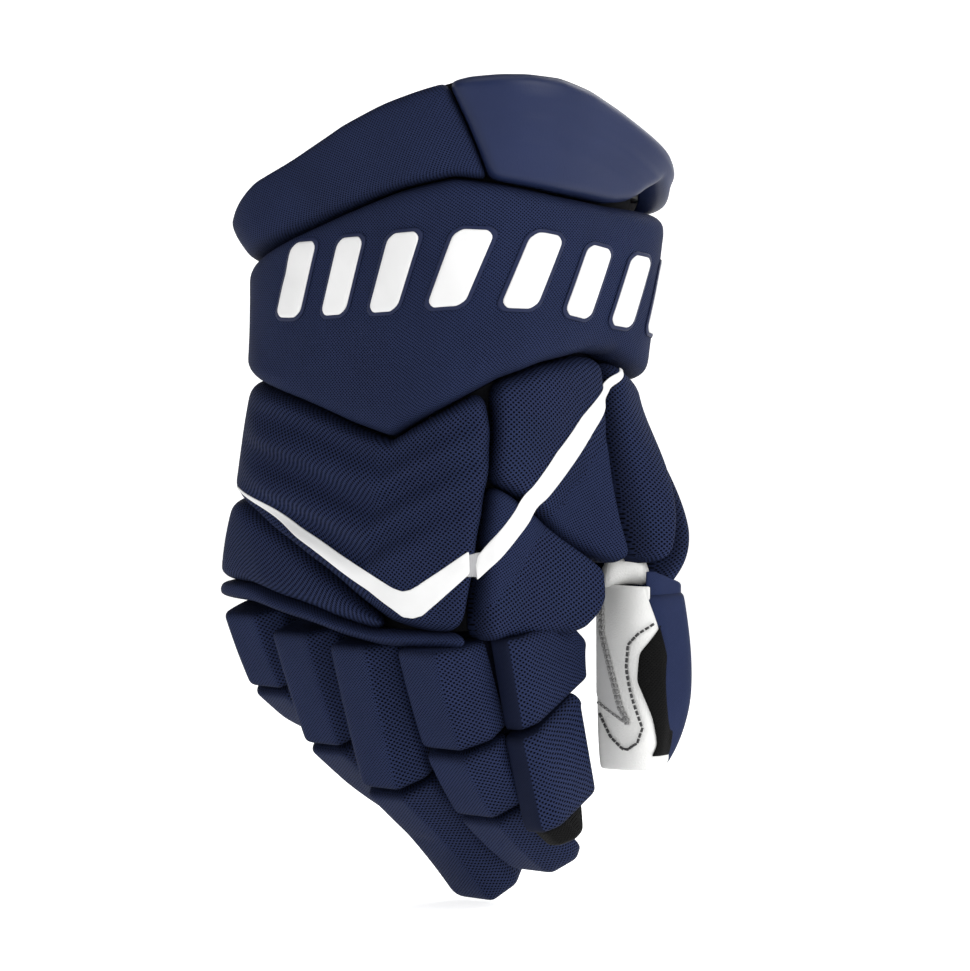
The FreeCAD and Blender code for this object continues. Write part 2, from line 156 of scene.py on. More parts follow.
class Bench:
    """The node tree of one material, with the few moves that every finish needs."""

    def __init__(self, name: str) -> None:
        """Makes the material and its shader."""
        self.material = bpy.data.materials.new(name)
        self.material.use_nodes = True
        self.tree = self.material.node_tree
        self.tree.nodes.clear()
        self.shader = self.node("ShaderNodeBsdfPrincipled")
        out = self.node("ShaderNodeOutputMaterial")
        self.tree.links.new(self.shader.outputs[0], out.inputs[0])

    def node(
        self, kind: str, settings: dict | None = None, *values: object, **named: object
    ) -> bpy.types.Node:
        """A node of any type.

        Args:
            kind: the node's type.
            settings: its own settings, set before its sockets; "stops" sets a ramp's (place, colour) stops.
            values: numbers, colours, Values or sockets for its first inputs, in order; None leaves one alone.
            named: the same for inputs by name, with an underscore for each space.

        Returns:
            The node.
        """
        made = self.tree.nodes.new(kind)
        for key, value in (settings or {}).items():
            if key == "stops":
                ramp = made.color_ramp
                while len(ramp.elements) < len(value):
                    ramp.elements.new(1.0)
                for element, (place, colour) in zip(ramp.elements, value):
                    element.position, element.color = place, (*colour, 1.0)
            else:
                setattr(made, key, value)
        pairs = list(zip(made.inputs, values))
        pairs += [(made.inputs[key.replace("_", " ")], value) for key, value in named.items()]
        for socket, value in pairs:
            if isinstance(value, Value):
                self.tree.links.new(value.socket, socket)
            elif isinstance(value, bpy.types.NodeSocket):
                self.tree.links.new(value, socket)
            elif value is not None:
                socket.default_value = (*value, 1.0) if socket.type == "RGBA" and len(value) == 3 else value
        return made

    def coordinates(self) -> tuple["Value", "Value", bpy.types.NodeSocket]:
        """The piece's cloth coordinates u and v in metres, and its object coordinates."""
        place = self.node("ShaderNodeTexCoord")
        flat = self.node("ShaderNodeSeparateXYZ", None, place.outputs["UV"])
        return Value(self, flat.outputs[0]), Value(self, flat.outputs[1]), place.outputs["Object"]

    def noise(
        self, place: bpy.types.NodeSocket, scale: float, detail: float = 3.0, rough: float = 0.5
    ) -> "Value":
        """Soft noise of about 0 to 1 at so many spots a metre."""
        made = self.node(
            "ShaderNodeTexNoise", None, Vector=place, Scale=scale, Detail=detail, Roughness=rough
        )
        return Value(self, made.outputs[0])

    def rim(self) -> "Value":
        """1 along a piece's seams and 0 inside it: the mask that the finishes paint shade with."""
        made = self.node("ShaderNodeAttribute", {"attribute_name": "rim"})
        return Value(self, made.outputs["Fac"])

    def mix(self, share: "Value | float", first: object, second: object) -> bpy.types.NodeSocket:
        """A colour between two colours."""
        made = self.node("ShaderNodeMix", {"data_type": "RGBA"}, share)
        for socket, value in ((made.inputs[6], first), (made.inputs[7], second)):
            if isinstance(value, bpy.types.NodeSocket):
                self.tree.links.new(value, socket)
            else:
                socket.default_value = (*value, 1.0)
        return made.outputs[2]

    def bump(self, height: "Value", metres: float, strength: float = 1.0) -> bpy.types.NodeSocket:
        """A normal bent by a height that is so many metres deep from 0 to 1."""
        made = self.node("ShaderNodeBump", None, Strength=strength, Distance=metres, Height=height)
        return made.outputs[0]

    def finish(
        self, colour: object, roughness: "Value | float", normal: object = None, **fixed: float
    ) -> None:
        """Sets the shader's changing sockets, and its fixed ones by name."""
        for key, value in (("Base Color", colour), ("Roughness", roughness), ("Normal", normal)):
            socket = self.shader.inputs[key]
            if isinstance(value, Value):
                self.tree.links.new(value.socket, socket)
            elif isinstance(value, bpy.types.NodeSocket):
                self.tree.links.new(value, socket)
            elif value is not None:
                socket.default_value = (*value, 1.0) if key == "Base Color" else value
        for key, value in fixed.items():
            self.shader.inputs[key.replace("_", " ")].default_value = value


# ---- finishes ------------------------------------------------------------------------------------
class Finish:
    """What a surface is made of. Each finish makes its material once."""

    made: dict[str, bpy.types.Material] = {}

    def material(self) -> bpy.types.Material:
        """The finish's material."""
        name = self.name
        if name not in Finish.made:
            bench = Bench(name)
            self.paint(bench)
            Finish.made[name] = bench.material
        return Finish.made[name]

    def paint(self, bench: Bench) -> None:
        """Lays out the finish's nodes on a bench."""
        raise NotImplementedError


@dataclass(frozen=True)
class Knit(Finish):
    """Warp-knit mesh with rows of open holes. The pitch is metres between holes along u and along v."""

    name: str
    colour: Colour
    hole: Colour
    pitch: tuple[float, float] = (0.0018, 0.0015)
    opening: float = 0.35
    depth: float = 0.0004
    sheen: float = 0.0

    def paint(self, bench: Bench) -> None:
        """Holes in a staggered lattice, a twisted yarn between them and a slow change of tone, with the holes
        near-black (partly the layer under the mesh, partly painted shade) and painted shade along the seams.
        """
        u, v, place = bench.coordinates()
        drift = bench.noise(place, 90.0) - 0.5
        x = (u + drift * (self.pitch[0] * 0.5)) * (2 * math.pi / self.pitch[0])
        y = (v + drift * (self.pitch[1] * 0.4)) * (2 * math.pi / self.pitch[1])
        lattice = x.cosine() * y.cosine()
        hole = lattice.step(self.opening, self.opening + 0.5)
        yarn = (x * 0.5 + y * 2.0).sine() * 0.5 + 0.5
        tone = bench.noise(place, 26.0, 4.0, 0.6)
        wool = bench.noise(place, 1500.0, 2.0)
        lit = tuple(min(c * 2.4 + 0.001, 1.0) for c in self.colour)
        cloth = bench.mix((yarn * 0.35 + wool * 0.5) * (tone * 1.1), self.colour, lit)
        # the holes take the near-black hole colour: partly the dark layer under the mesh, partly painted shade in
        # the recess
        cloth = bench.mix(hole, cloth, self.hole)
        # painted shade: the colour darkens towards the hole colour along the seams and over the whole inside
        painted_seam_shade = bench.rim() * 0.45
        cloth = bench.mix(painted_seam_shade, cloth, self.hole)
        height = (1.0 - hole) * (0.8 + yarn * 0.12) + wool * 0.06
        bench.finish(
            cloth, 0.62 + hole * 0.25 + tone * 0.08, bench.bump(height, self.depth),
            Sheen_Weight=self.sheen, Sheen_Roughness=0.45, Specular_IOR_Level=0.05,
        )


@dataclass(frozen=True)
class Satin(Finish):
    """A smooth coated shell with a faint grain."""

    name: str
    colour: Colour
    roughness: float = 0.36
    grain: float = 0.00006

    def paint(self, bench: Bench) -> None:
        """A fine pebble, with cloudy gloss, and painted shade along the seams and on the inside."""
        _, _, place = bench.coordinates()
        grain = bench.noise(place, 1400.0, 2.0)
        cloud = bench.noise(place, 30.0, 4.0)
        deep = tuple(c * 0.72 for c in self.colour)
        colour = bench.mix(cloud, deep, self.colour)
        # painted shade: the colour darkens to about a third along the seams and on the inside
        colour = bench.mix(bench.rim() * 0.5, colour, tuple(c * 0.35 for c in self.colour))
        bench.finish(
            colour, self.roughness + cloud * 0.16, bench.bump(grain, self.grain), Coat_Roughness=0.4,
            Specular_IOR_Level=0.16,
        )


@dataclass(frozen=True)
class Leather(Finish):
    """Soft synthetic leather with a fine grain, faint creases, handling marks and painted shade at its seams."""

    name: str
    colour: Colour
    mottling_and_painted_shade: Colour
    grain: float = 0.00012
    roughness: float = 0.48
    suede: float = 0.0

    def paint(self, bench: Bench) -> None:
        """Cells for the grain, long noise for the creases, a darker mottled tone where that noise runs high, and
        painted shade at the seams and on the inside.
        """
        _, _, place = bench.coordinates()
        cells = bench.node("ShaderNodeTexVoronoi", {"feature": "DISTANCE_TO_EDGE"}, Vector=place, Scale=900.0)
        pebble = Value(bench, cells.outputs[0]).step(0.0, 0.25)
        crease = bench.noise(place, 70.0, 5.0, 0.62)
        tone = bench.noise(place, 18.0, 3.0)
        fuzz = bench.noise(place, 2600.0, 2.0)
        colour = bench.mix((crease * tone * 1.2).clamped(), self.colour, self.mottling_and_painted_shade)
        # painted shade: the darker colour along the seams and on the inside
        colour = bench.mix(bench.rim() * 0.4, colour, self.mottling_and_painted_shade)
        height = pebble * (0.45 * (1 - self.suede)) + crease * 0.6 + fuzz * (0.1 + 0.5 * self.suede)
        bench.finish(
            colour, self.roughness + crease * 0.2 + 0.3 * self.suede, bench.bump(height, self.grain),
            Sheen_Weight=0.4 * self.suede, Specular_IOR_Level=0.4,
        )


@dataclass(frozen=True)
class Ribbed(Finish):
    """Woven elastic with ribs along v and fine picks across."""

    name: str
    colour: Colour
    rib: float = 0.0022

    def paint(self, bench: Bench) -> None:
        """Ribs and picks."""
        u, v, place = bench.coordinates()
        ribs = (v * (2 * math.pi / self.rib)).sine() * 0.5 + 0.5
        picks = (u * (2 * math.pi / 0.0008)).sine() * 0.5 + 0.5
        cloud = bench.noise(place, 60.0)
        lit = tuple(min(c * 2.4 + 0.004, 1.0) for c in self.colour)
        colour = bench.mix(ribs * (0.4 + picks * 0.4) * cloud, self.colour, lit)
        bench.finish(colour, 0.7 + cloud * 0.15, bench.bump(ribs * 0.8 + picks * 0.2, 0.0004))


@dataclass(frozen=True)
class Brushed(Finish):
    """Brushed tricot lining: short soft fibres with a nap."""

    name: str
    colour: Colour

    def paint(self, bench: Bench) -> None:
        """Fibre noise over slow clouds."""
        _, _, place = bench.coordinates()
        fibre, cloud = bench.noise(place, 1800.0, 4.0, 0.7), bench.noise(place, 40.0, 4.0)
        lit = tuple(min(c * 2.0 + 0.004, 1.0) for c in self.colour)
        colour = bench.mix(fibre * cloud, self.colour, lit)
        bench.finish(colour, 0.85, bench.bump(fibre * 0.6 + cloud * 0.8, 0.0003), Specular_IOR_Level=0.1)


@dataclass(frozen=True)
class Moulded(Finish):
    """Moulded plastic with a fine spark texture."""

    name: str
    colour: Colour

    def paint(self, bench: Bench) -> None:
        """A spark-eroded texture and faint flow marks."""
        _, _, place = bench.coordinates()
        spark, flow = bench.noise(place, 2200.0, 2.0), bench.noise(place, 24.0, 2.0)
        colour = bench.mix(flow, self.colour, tuple(min(c * 1.4 + 0.01, 1.0) for c in self.colour))
        bench.finish(colour, 0.4 + spark * 0.2, bench.bump(spark, 0.00008))


@dataclass(frozen=True)
class Paint(Finish):
    """The floor and backdrop."""

    name: str
    colour: Colour
    glow: float = 0.35

    def paint(self, bench: Bench) -> None:
        """A matt pale surface with the faintest mottling."""
        _, _, place = bench.coordinates()
        cloud = bench.noise(place, 3.0, 2.0)
        colour = bench.mix(cloud * 0.3, self.colour, tuple(c * 0.97 for c in self.colour))
        bench.finish(colour, 0.9, Emission_Strength=self.glow)
        bench.tree.links.new(colour, bench.shader.inputs["Emission Color"])


NAVY: Colour = (0.0105, 0.0155, 0.042)
# the knit's near-black hole colour: partly the dark layer under the mesh and partly painted shade; it is also the
# painted seam shade
NIGHT: Colour = (0.0006, 0.0008, 0.0022)
GREY: Colour = (0.50, 0.50, 0.50)
BLACK: Colour = (0.002, 0.002, 0.0025)


class Cloths(Enum):
    """The finishes, each by the use it is put to."""

    PAD = Knit("pad_mesh", NAVY, NIGHT, (0.0022, 0.0019), 0.10, 0.0006)
    COARSE = Knit("coarse_mesh", NAVY, NIGHT, (0.0023, 0.0020), 0.14, 0.0006)
    FINE = Knit("fine_mesh", NAVY, NIGHT, (0.0016, 0.0014), 0.20, 0.0004)
    SMOOTH = Knit("smooth_mesh", tuple(c * 1.02 for c in NAVY), NIGHT, (0.0011, 0.0010), 0.62, 0.0002)
    # a darker copy of the navy knit for the index side pads' faces turned away from the light: painted shade
    GUSSET = Knit("shaded_side_mesh", tuple(c * 0.42 for c in NAVY), NIGHT, (0.0011, 0.0010), 0.5, 0.0002)
    CHANNEL = Knit("channel_mesh", (0.0026, 0.0036, 0.011), BLACK, (0.0014, 0.0013), 0.3, 0.0004, 0.02)
    BLACK_MESH = Knit(
        "black_mesh", (0.0025, 0.0025, 0.0026), (0.0006, 0.0006, 0.0006), (0.0016, 0.0014), 0.2, 0.0004, 0.02
    )
    SHELL = Satin("shell_coat", (0.0125, 0.0205, 0.064))
    RAISED = Satin("raised_border", (0.010, 0.016, 0.052), 0.42)
    MARK = Satin("white_film", (0.80, 0.80, 0.80), 0.34)
    PATCH = Satin("grey_film", (0.36, 0.36, 0.37), 0.5)
    LEATHER = Leather("white_leather", (0.68, 0.68, 0.67), (0.50, 0.50, 0.485))
    SUEDE = Leather("grey_suede", GREY, (0.33, 0.33, 0.33), 0.00016, 0.6, 1.0)
    ELASTIC = Ribbed("black_elastic", (0.008, 0.008, 0.009))
    LINING = Brushed("lining_tricot", (0.0030, 0.0032, 0.0045))
    INSERT = Moulded("insert_plastic", (0.002, 0.0022, 0.003))
    THREAD = Moulded("black_thread", (0.008, 0.008, 0.009))
    GREY_THREAD = Moulded("grey_thread", (0.16, 0.16, 0.16))
    NAVY_THREAD = Moulded("navy_thread", (0.004, 0.006, 0.02))
    FLOOR = Paint("studio_floor", (0.80, 0.80, 0.80), 0.9)
    WALL = Paint("studio_wall", (0.93, 0.93, 0.93), 0.8)


# ---- the hand part's form ------------------------------------------------------------------------
def smooth(low: float, high: float, value: np.ndarray) -> np.ndarray:
    """0 up to low and 1 from high on, with a soft start and end."""
    t = np.clip((np.asarray(value, float) - low) / (high - low), 0.0, 1.0)
    return t * t * (3 - 2 * t)


@dataclass
class Form:
    """The tube of lining that the hand part is sewn round."""

    levels: tuple = (
        (60, 71, 61, 6, 22), (20, 68, 58, 6, 22), (-20, 63, 53, 6, 21), (-60, 61, 50, 5, 19),
        (-100, 63, 46, 2, 14), (-140, 63, 31, -3, 0), (-180, 62, 19, -7, -11), (-220, 62, 17, -7, -13),
    )
    squareness: float = 3.6
    root_swell: float = 50.0

    def section(self, z: np.ndarray) -> np.ndarray:
        """Half width, half depth, centre x and centre y at heights."""
        rows = np.array(self.levels, float)
        z = np.clip(z, rows[-1, 0], rows[0, 0])
        k = np.clip(np.searchsorted(-rows[:, 0], -z, side="right") - 1, 0, len(rows) - 2)
        a, b = rows[k], rows[k + 1]
        p, q = rows[np.maximum(k - 1, 0)], rows[np.minimum(k + 2, len(rows) - 1)]
        t = ((a[..., 0] - z) / (a[..., 0] - b[..., 0]))[..., None]
        made = 0.5 * (
            2 * a + (b - p) * t + (2 * p - 5 * a + 4 * b - q) * t * t + (3 * a - p - 3 * b + q) * t**3
        )
        return made[..., 1:]

    def swell(self, angle: np.ndarray, z: np.ndarray) -> np.ndarray:
        """How much further the panels stand off where they pass over the thumb's root."""
        around = (angle + 180) % 360 - 180
        side = smooth(2, 31, around) ** 1.4 * (1 - smooth(33, 63, around))
        return self.root_swell * side * smooth(-75, -155, z) * smooth(-176, -157, z)

    def point(self, angle: object, z: object, out: object, swell_to: float = 180.0) -> np.ndarray:
        """Points off the lining.

        Args:
            angle: degrees round the tube.
            z: height.
            out: distance off the lining.
            swell_to: the angle past which the thumb's root swells the form no further.

        Returns:
            The points, with x, y and z along the last axis.
        """
        angle, z, out = np.broadcast_arrays(*(np.asarray(v, float) for v in (angle, z, out)))
        half = self.section(z)
        a, b, x, y = (half[..., i] for i in range(4))
        c, s, n = np.cos(np.radians(angle)), np.sin(np.radians(angle)), self.squareness
        radius = (np.abs(c / a) ** n + np.abs(s / b) ** n) ** (-1 / n)
        fx, fy = np.sign(c) * np.abs(c / a) ** (n - 1) / a, np.sign(s) * np.abs(s / b) ** (n - 1) / b
        slant = (fx * c + fy * s) / np.hypot(fx, fy)
        radius = radius + out / np.maximum(slant, 0.75) + self.swell(np.minimum(angle, swell_to), z)
        return np.stack([x + radius * c, y + radius * s, z], -1)


FORM = Form()


class Edge:
    """A line round the hand: heights at angles, straight between its knots."""

    def __init__(self, *knots: tuple[float, float], drop: float = 0.0) -> None:
        """Keeps the knots as (angle, height) pairs."""
        self.knots, self.drop = knots, drop

    def __call__(self, angle: np.ndarray) -> np.ndarray:
        """The line's height at angles."""
        places, heights = np.array(self.knots, float).T
        return np.interp(angle, places, heights) - self.drop

    def lowered(self, by: float) -> "Edge":
        """The same line, further down."""
        return Edge(*self.knots, drop=self.drop + by)


def level(z: float) -> Edge:
    """A level line."""
    return Edge((0, z))


WRAP, CUFF_END, ROOT_TOP, ROOT_BOTTOM = -213.0, 66.0, -97.0, -159.8
CUFF_TOP = Edge(
    (-213, -27), (-170, -20), (-140, -9), (-127, 4), (-108, 16), (-91, 26), (-74, 34), (-60, 39.5),
    (-46, 44.5),
    (-38, 45.5), (-31, 45.5), (-21, 44), (-10, 39.5), (3, 32), (17, 23), (31, 14), (66, 6),
)
BAND_TOP = Edge(
    (-213, -42), (-170, -36), (-140, -29), (-116, -18), (-96, -10), (-68, 0), (-50, 5), (-38, 3), (-19, -2),
    (3, -6), (27, -9), (66, -14),
)
BAND_BOTTOM = Edge(
    (-213, -75), (-141, -76), (-112, -84.5), (-87, -92.5), (-67, -97.5), (-48, -84.5), (-34, -74), (-20, -68),
    (-2, -64.5), (12, -65.5), (27, -73), (35, -77), (70, -78),
)
BACK_BOTTOM = Edge(
    (-213, -120), (-145.5, -124.5), (-128, -136.0), (-106, -148), (-75, -159.4), (-57, -165.5), (-44, -170.2),
    (-28, -174), (-15, -174.8),
)
LOW_PAD_BOTTOM = Edge((-213, -158), (-148, -159), (-128, -164), (-89, -170), (-56, -173.8), (-22, -174.4))
ROLL_BOTTOM = Edge((-213, -163), (-148, -165), (-123, -170), (-81, -175.5), (-45, -179), (-22, -179.5))
SIDE_SPLIT = Edge((-34, -111), (-19, -120), (-3, -130), (17.5, -148), (24, -150))
SIDE_BOTTOM = Edge((-20, -178), (16, -177), (40, -171))
SHELL_BOTTOM = Edge(
    (-53, 5.2), (-38, 3.6), (-19, -1.2), (3, -5.4), (11, -5.0), (18, -1), (26, 3), (34, -3), (44, -10),
    (66, -13.4)
)
UNDER_BAND, OVER_BAND = BAND_BOTTOM.lowered(1.2), BAND_TOP.lowered(-0.6)
DEGREE = 1.15  # millimetres round the hand per degree, near enough


def off_line(angle: np.ndarray, z: np.ndarray, line: Sequence[tuple[float, float]]) -> np.ndarray:
    """How far places on the hand are from a line of (angle, height) points, in millimetres."""
    place = np.stack([np.asarray(angle) * DEGREE, np.asarray(z)], -1)
    best = np.full(place.shape[:-1], 1e9)
    knots = [np.array([a * DEGREE, h]) for a, h in line]
    for a, b in zip(knots, knots[1:]):
        t = np.clip(((place - a) @ (b - a)) / ((b - a) @ (b - a)), 0, 1)[..., None]
        best = np.minimum(best, np.linalg.norm(place - (a + (b - a) * t), axis=-1))
    return best


def groove(line: Sequence[tuple[float, float]], width: float, depth: float) -> Relief:
    """A sewn channel along a line."""
    return lambda angle, z: -depth * np.exp(-((off_line(angle, z, line) / width) ** 2))


# ---- making meshes -------------------------------------------------------------------------------
class Tailor:
    """Makes meshes from grids of millimetre points, and dresses and mounts finished pieces."""

    @staticmethod
    def mesh(name: str, points: np.ndarray, faces: list, uv: np.ndarray, rim: np.ndarray) -> bpy.types.Object:
        """A mesh object.

        Args:
            name: the piece's name.
            points: its points in millimetres.
            faces: its faces, as point numbers.
            uv: the cloth coordinates of each point, in millimetres.
            rim: 1 at seams and 0 inside, for each point; the finishes paint shade with it.

        Returns:
            The object, linked to the scene.
        """
        data = bpy.data.meshes.new(name)
        data.from_pydata((points * MM).tolist(), [], faces)
        layer = data.uv_layers.new(name="cloth")
        corner = np.zeros(len(data.loops), np.int32)
        data.loops.foreach_get("vertex_index", corner)
        layer.data.foreach_set("uv", (uv[corner] * MM).astype(np.float32).ravel())
        data.attributes.new("rim", "FLOAT", "POINT").data.foreach_set("value", rim.astype(np.float32))
        made = bmesh.new()
        made.from_mesh(data)
        bmesh.ops.recalc_face_normals(made, faces=made.faces)
        made.to_mesh(data)
        made.free()
        obj = bpy.data.objects.new(name, data)
        bpy.context.collection.objects.link(obj)
        return obj

    @staticmethod
    def shell(
        name: str, outer: np.ndarray, inner: np.ndarray, rim: np.ndarray, wrap: bool = False,
        cap: bool = False
    ) -> bpy.types.Object:
        """A closed shell between two grids of points with the same rows and columns.

        Args:
            name: the piece's name.
            outer: its outside, columns by rows by 3.
            inner: its inside, the same way round.
            rim: 1 at seams and 0 inside, for each outer point; the inner points all take 1, and the finishes paint
                shade with it.
            wrap: the last column joins the first.
            cap: the last row closes to a point on both sides.

        Returns:
            The object.
        """
        n, m = outer.shape[:2]
        ring = n if wrap else n - 1
        step_u = np.linalg.norm(np.diff(outer, axis=0), axis=-1)
        step_v = np.linalg.norm(np.diff(outer, axis=1), axis=-1)
        u = np.concatenate([np.zeros((1, m)), np.cumsum(step_u, 0)])
        v = np.concatenate([np.zeros((n, 1)), np.cumsum(step_v, 1)], 1)
        u, v = u - u[n // 2], v - v[:, m // 2 : m // 2 + 1]
        flat = np.stack([u, -v], -1).reshape(-1, 2)
        points = np.concatenate([outer.reshape(-1, 3), inner.reshape(-1, 3)])
        # the inside counts as all seam, so the finishes paint it in shade
        uv, edge = np.concatenate([flat, flat]), np.concatenate([rim.ravel(), np.ones(n * m)])
        total, faces = n * m, []

        def quad(a: int, b: int, c: int, d: int) -> None:
            faces.append((a, b, c, d))

        for i in range(ring):
            k = (i + 1) % n
            for j in range(m - 1):
                quad(i * m + j, i * m + j + 1, k * m + j + 1, k * m + j)
                quad(total + i * m + j, total + k * m + j, total + k * m + j + 1, total + i * m + j + 1)
            quad(i * m, k * m, total + k * m, total + i * m)
            if not cap:
                quad(i * m + m - 1, total + i * m + m - 1, total + k * m + m - 1, k * m + m - 1)
        if not wrap:
            for j in range(m - 1):
                quad(j, total + j, total + j + 1, j + 1)
                quad((n - 1) * m + j, (n - 1) * m + j + 1, total + (n - 1) * m + j + 1, total + (n - 1) * m + j)
        if cap:
            for base, flip in ((0, False), (total, True)):
                ring_ids = [base + i * m + m - 1 for i in range(n)]
                faces.append(tuple(ring_ids[::-1] if flip else ring_ids))
        return Tailor.mesh(name, points, faces, uv, edge)

    @staticmethod
    def refine(obj: bpy.types.Object, levels: int = 1) -> None:
        """Subdivides a mesh smoothly and applies it."""
        for face in obj.data.polygons:
            face.use_smooth = True
        if levels:
            mod = obj.modifiers.new("smooth", "SUBSURF")
            mod.levels = mod.render_levels = levels
            Tailor.apply(obj, mod)

    @staticmethod
    def apply(obj: bpy.types.Object, mod: bpy.types.Modifier) -> None:
        """Applies a modifier."""
        bpy.ops.object.select_all(action="DESELECT")
        obj.select_set(True)
        bpy.context.view_layer.objects.active = obj
        bpy.ops.object.modifier_apply(modifier=mod.name)

    @staticmethod
    def dress(
        obj: bpy.types.Object, body: str, cloth: Cloths, slot: str | None, nodes: Sequence[str] = ()
    ) -> None:
        """Gives a piece its material and its body, and hides the imported solids it stands for."""
        if not obj.data.materials:
            obj.data.materials.append(cloth.value.material())
        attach(obj, body)
        if nodes:
            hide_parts(*nodes)

    @staticmethod
    def cloth(obj: bpy.types.Object, grid: np.ndarray, held: str, rests_on: Sequence[str] = ()) -> None:
        """Works out a sheet's mean width and length, and does nothing more with them."""
        flat = Tailor.area(grid)

    @staticmethod
    def area(grid: np.ndarray) -> tuple[float, float]:
        """A grid's mean width and mean length in metres."""
        wide = np.linalg.norm(np.diff(grid, axis=0), axis=-1).sum(0).mean()
        long = np.linalg.norm(np.diff(grid, axis=1), axis=-1).sum(1).mean()
        return float(wide * MM), float(long * MM)


class PuffRoom:
    """Blows up the padded pieces together with cloth simulation, each held along its seams."""

    jobs: list[tuple[bpy.types.Object, np.ndarray, float]] = []

    @classmethod
    def add(cls, obj: bpy.types.Object, held: np.ndarray, cap: float) -> None:
        """Puts a piece in the room.

        Args:
            obj: the piece.
            held: how firmly each point is held, from 0 to 1.
            cap: the furthest that a point may move, in millimetres.
        """
        cls.jobs.append((obj, held, cap))

    @classmethod
    def run(cls, pressure: float = 4.0) -> None:
        """Fills every piece for twenty frames, caps how far its points moved and keeps the result."""
        if not cls.jobs:
            return
        scene = bpy.context.scene
        for obj, held, _ in cls.jobs:
            group = obj.vertex_groups.new(name="held")
            for weight in np.unique(np.round(held, 2)):
                group.add(
                    [int(i) for i in np.nonzero(np.round(held, 2) == weight)[0]], float(weight), "REPLACE"
                )
            mod = obj.modifiers.new("fill", "CLOTH")
            mod.point_cache.frame_start, mod.point_cache.frame_end = 1, 20
            kit = mod.settings
            kit.use_pressure, kit.uniform_pressure_force = True, pressure
            kit.effector_weights.gravity = 0
            kit.vertex_group_mass, kit.quality, kit.mass = "held", 5, 0.3
            kit.tension_stiffness = kit.compression_stiffness = 18
            kit.shear_stiffness, kit.bending_stiffness, kit.air_damping = 8, 0.6, 2
        for number in range(1, 21):
            scene.frame_set(number)
        graph = bpy.context.evaluated_depsgraph_get()
        for obj, _, cap in cls.jobs:
            shown, count = obj.evaluated_get(graph).data, len(obj.data.vertices)
            before, after = np.zeros(count * 3, np.float32), np.zeros(count * 3, np.float32)
            obj.data.vertices.foreach_get("co", before)
            shown.vertices.foreach_get("co", after)
            move = (after - before).reshape(-1, 3)
            far = np.linalg.norm(move, axis=1, keepdims=True)
            move *= np.where(far > 0, np.tanh(far / (cap * MM)) * (cap * MM) / np.maximum(far, 1e-9), 0)
            obj.modifiers.remove(obj.modifiers["fill"])
            obj.vertex_groups.clear()
            obj.data.vertices.foreach_set("co", (before.reshape(-1, 3) + move).ravel())
            obj.data.update()
            log.info("filled %s, most %.1f mm", obj.name, float(np.abs(move).max()) / MM)
        scene.frame_set(1)


def stations(length: float, rim: float, pitch: float) -> np.ndarray:
    """Places from 0 to 1 along a piece, close together at its rims.

    Args:
        length: the piece's length.
        rim: how far its rounded rims reach in.
        pitch: the spacing between them.

    Returns:
        The places.
    """
    r = min(rim, length * 0.42)
    edge = r * np.array([0.0, 0.05, 0.16, 0.34, 0.6, 1.0])
    count = max(2, round((length - 2 * r) / pitch))
    middle = np.linspace(r, length - r, count + 1)[1:-1]
    return np.concatenate([edge, middle, (length - edge)[::-1]]) / length


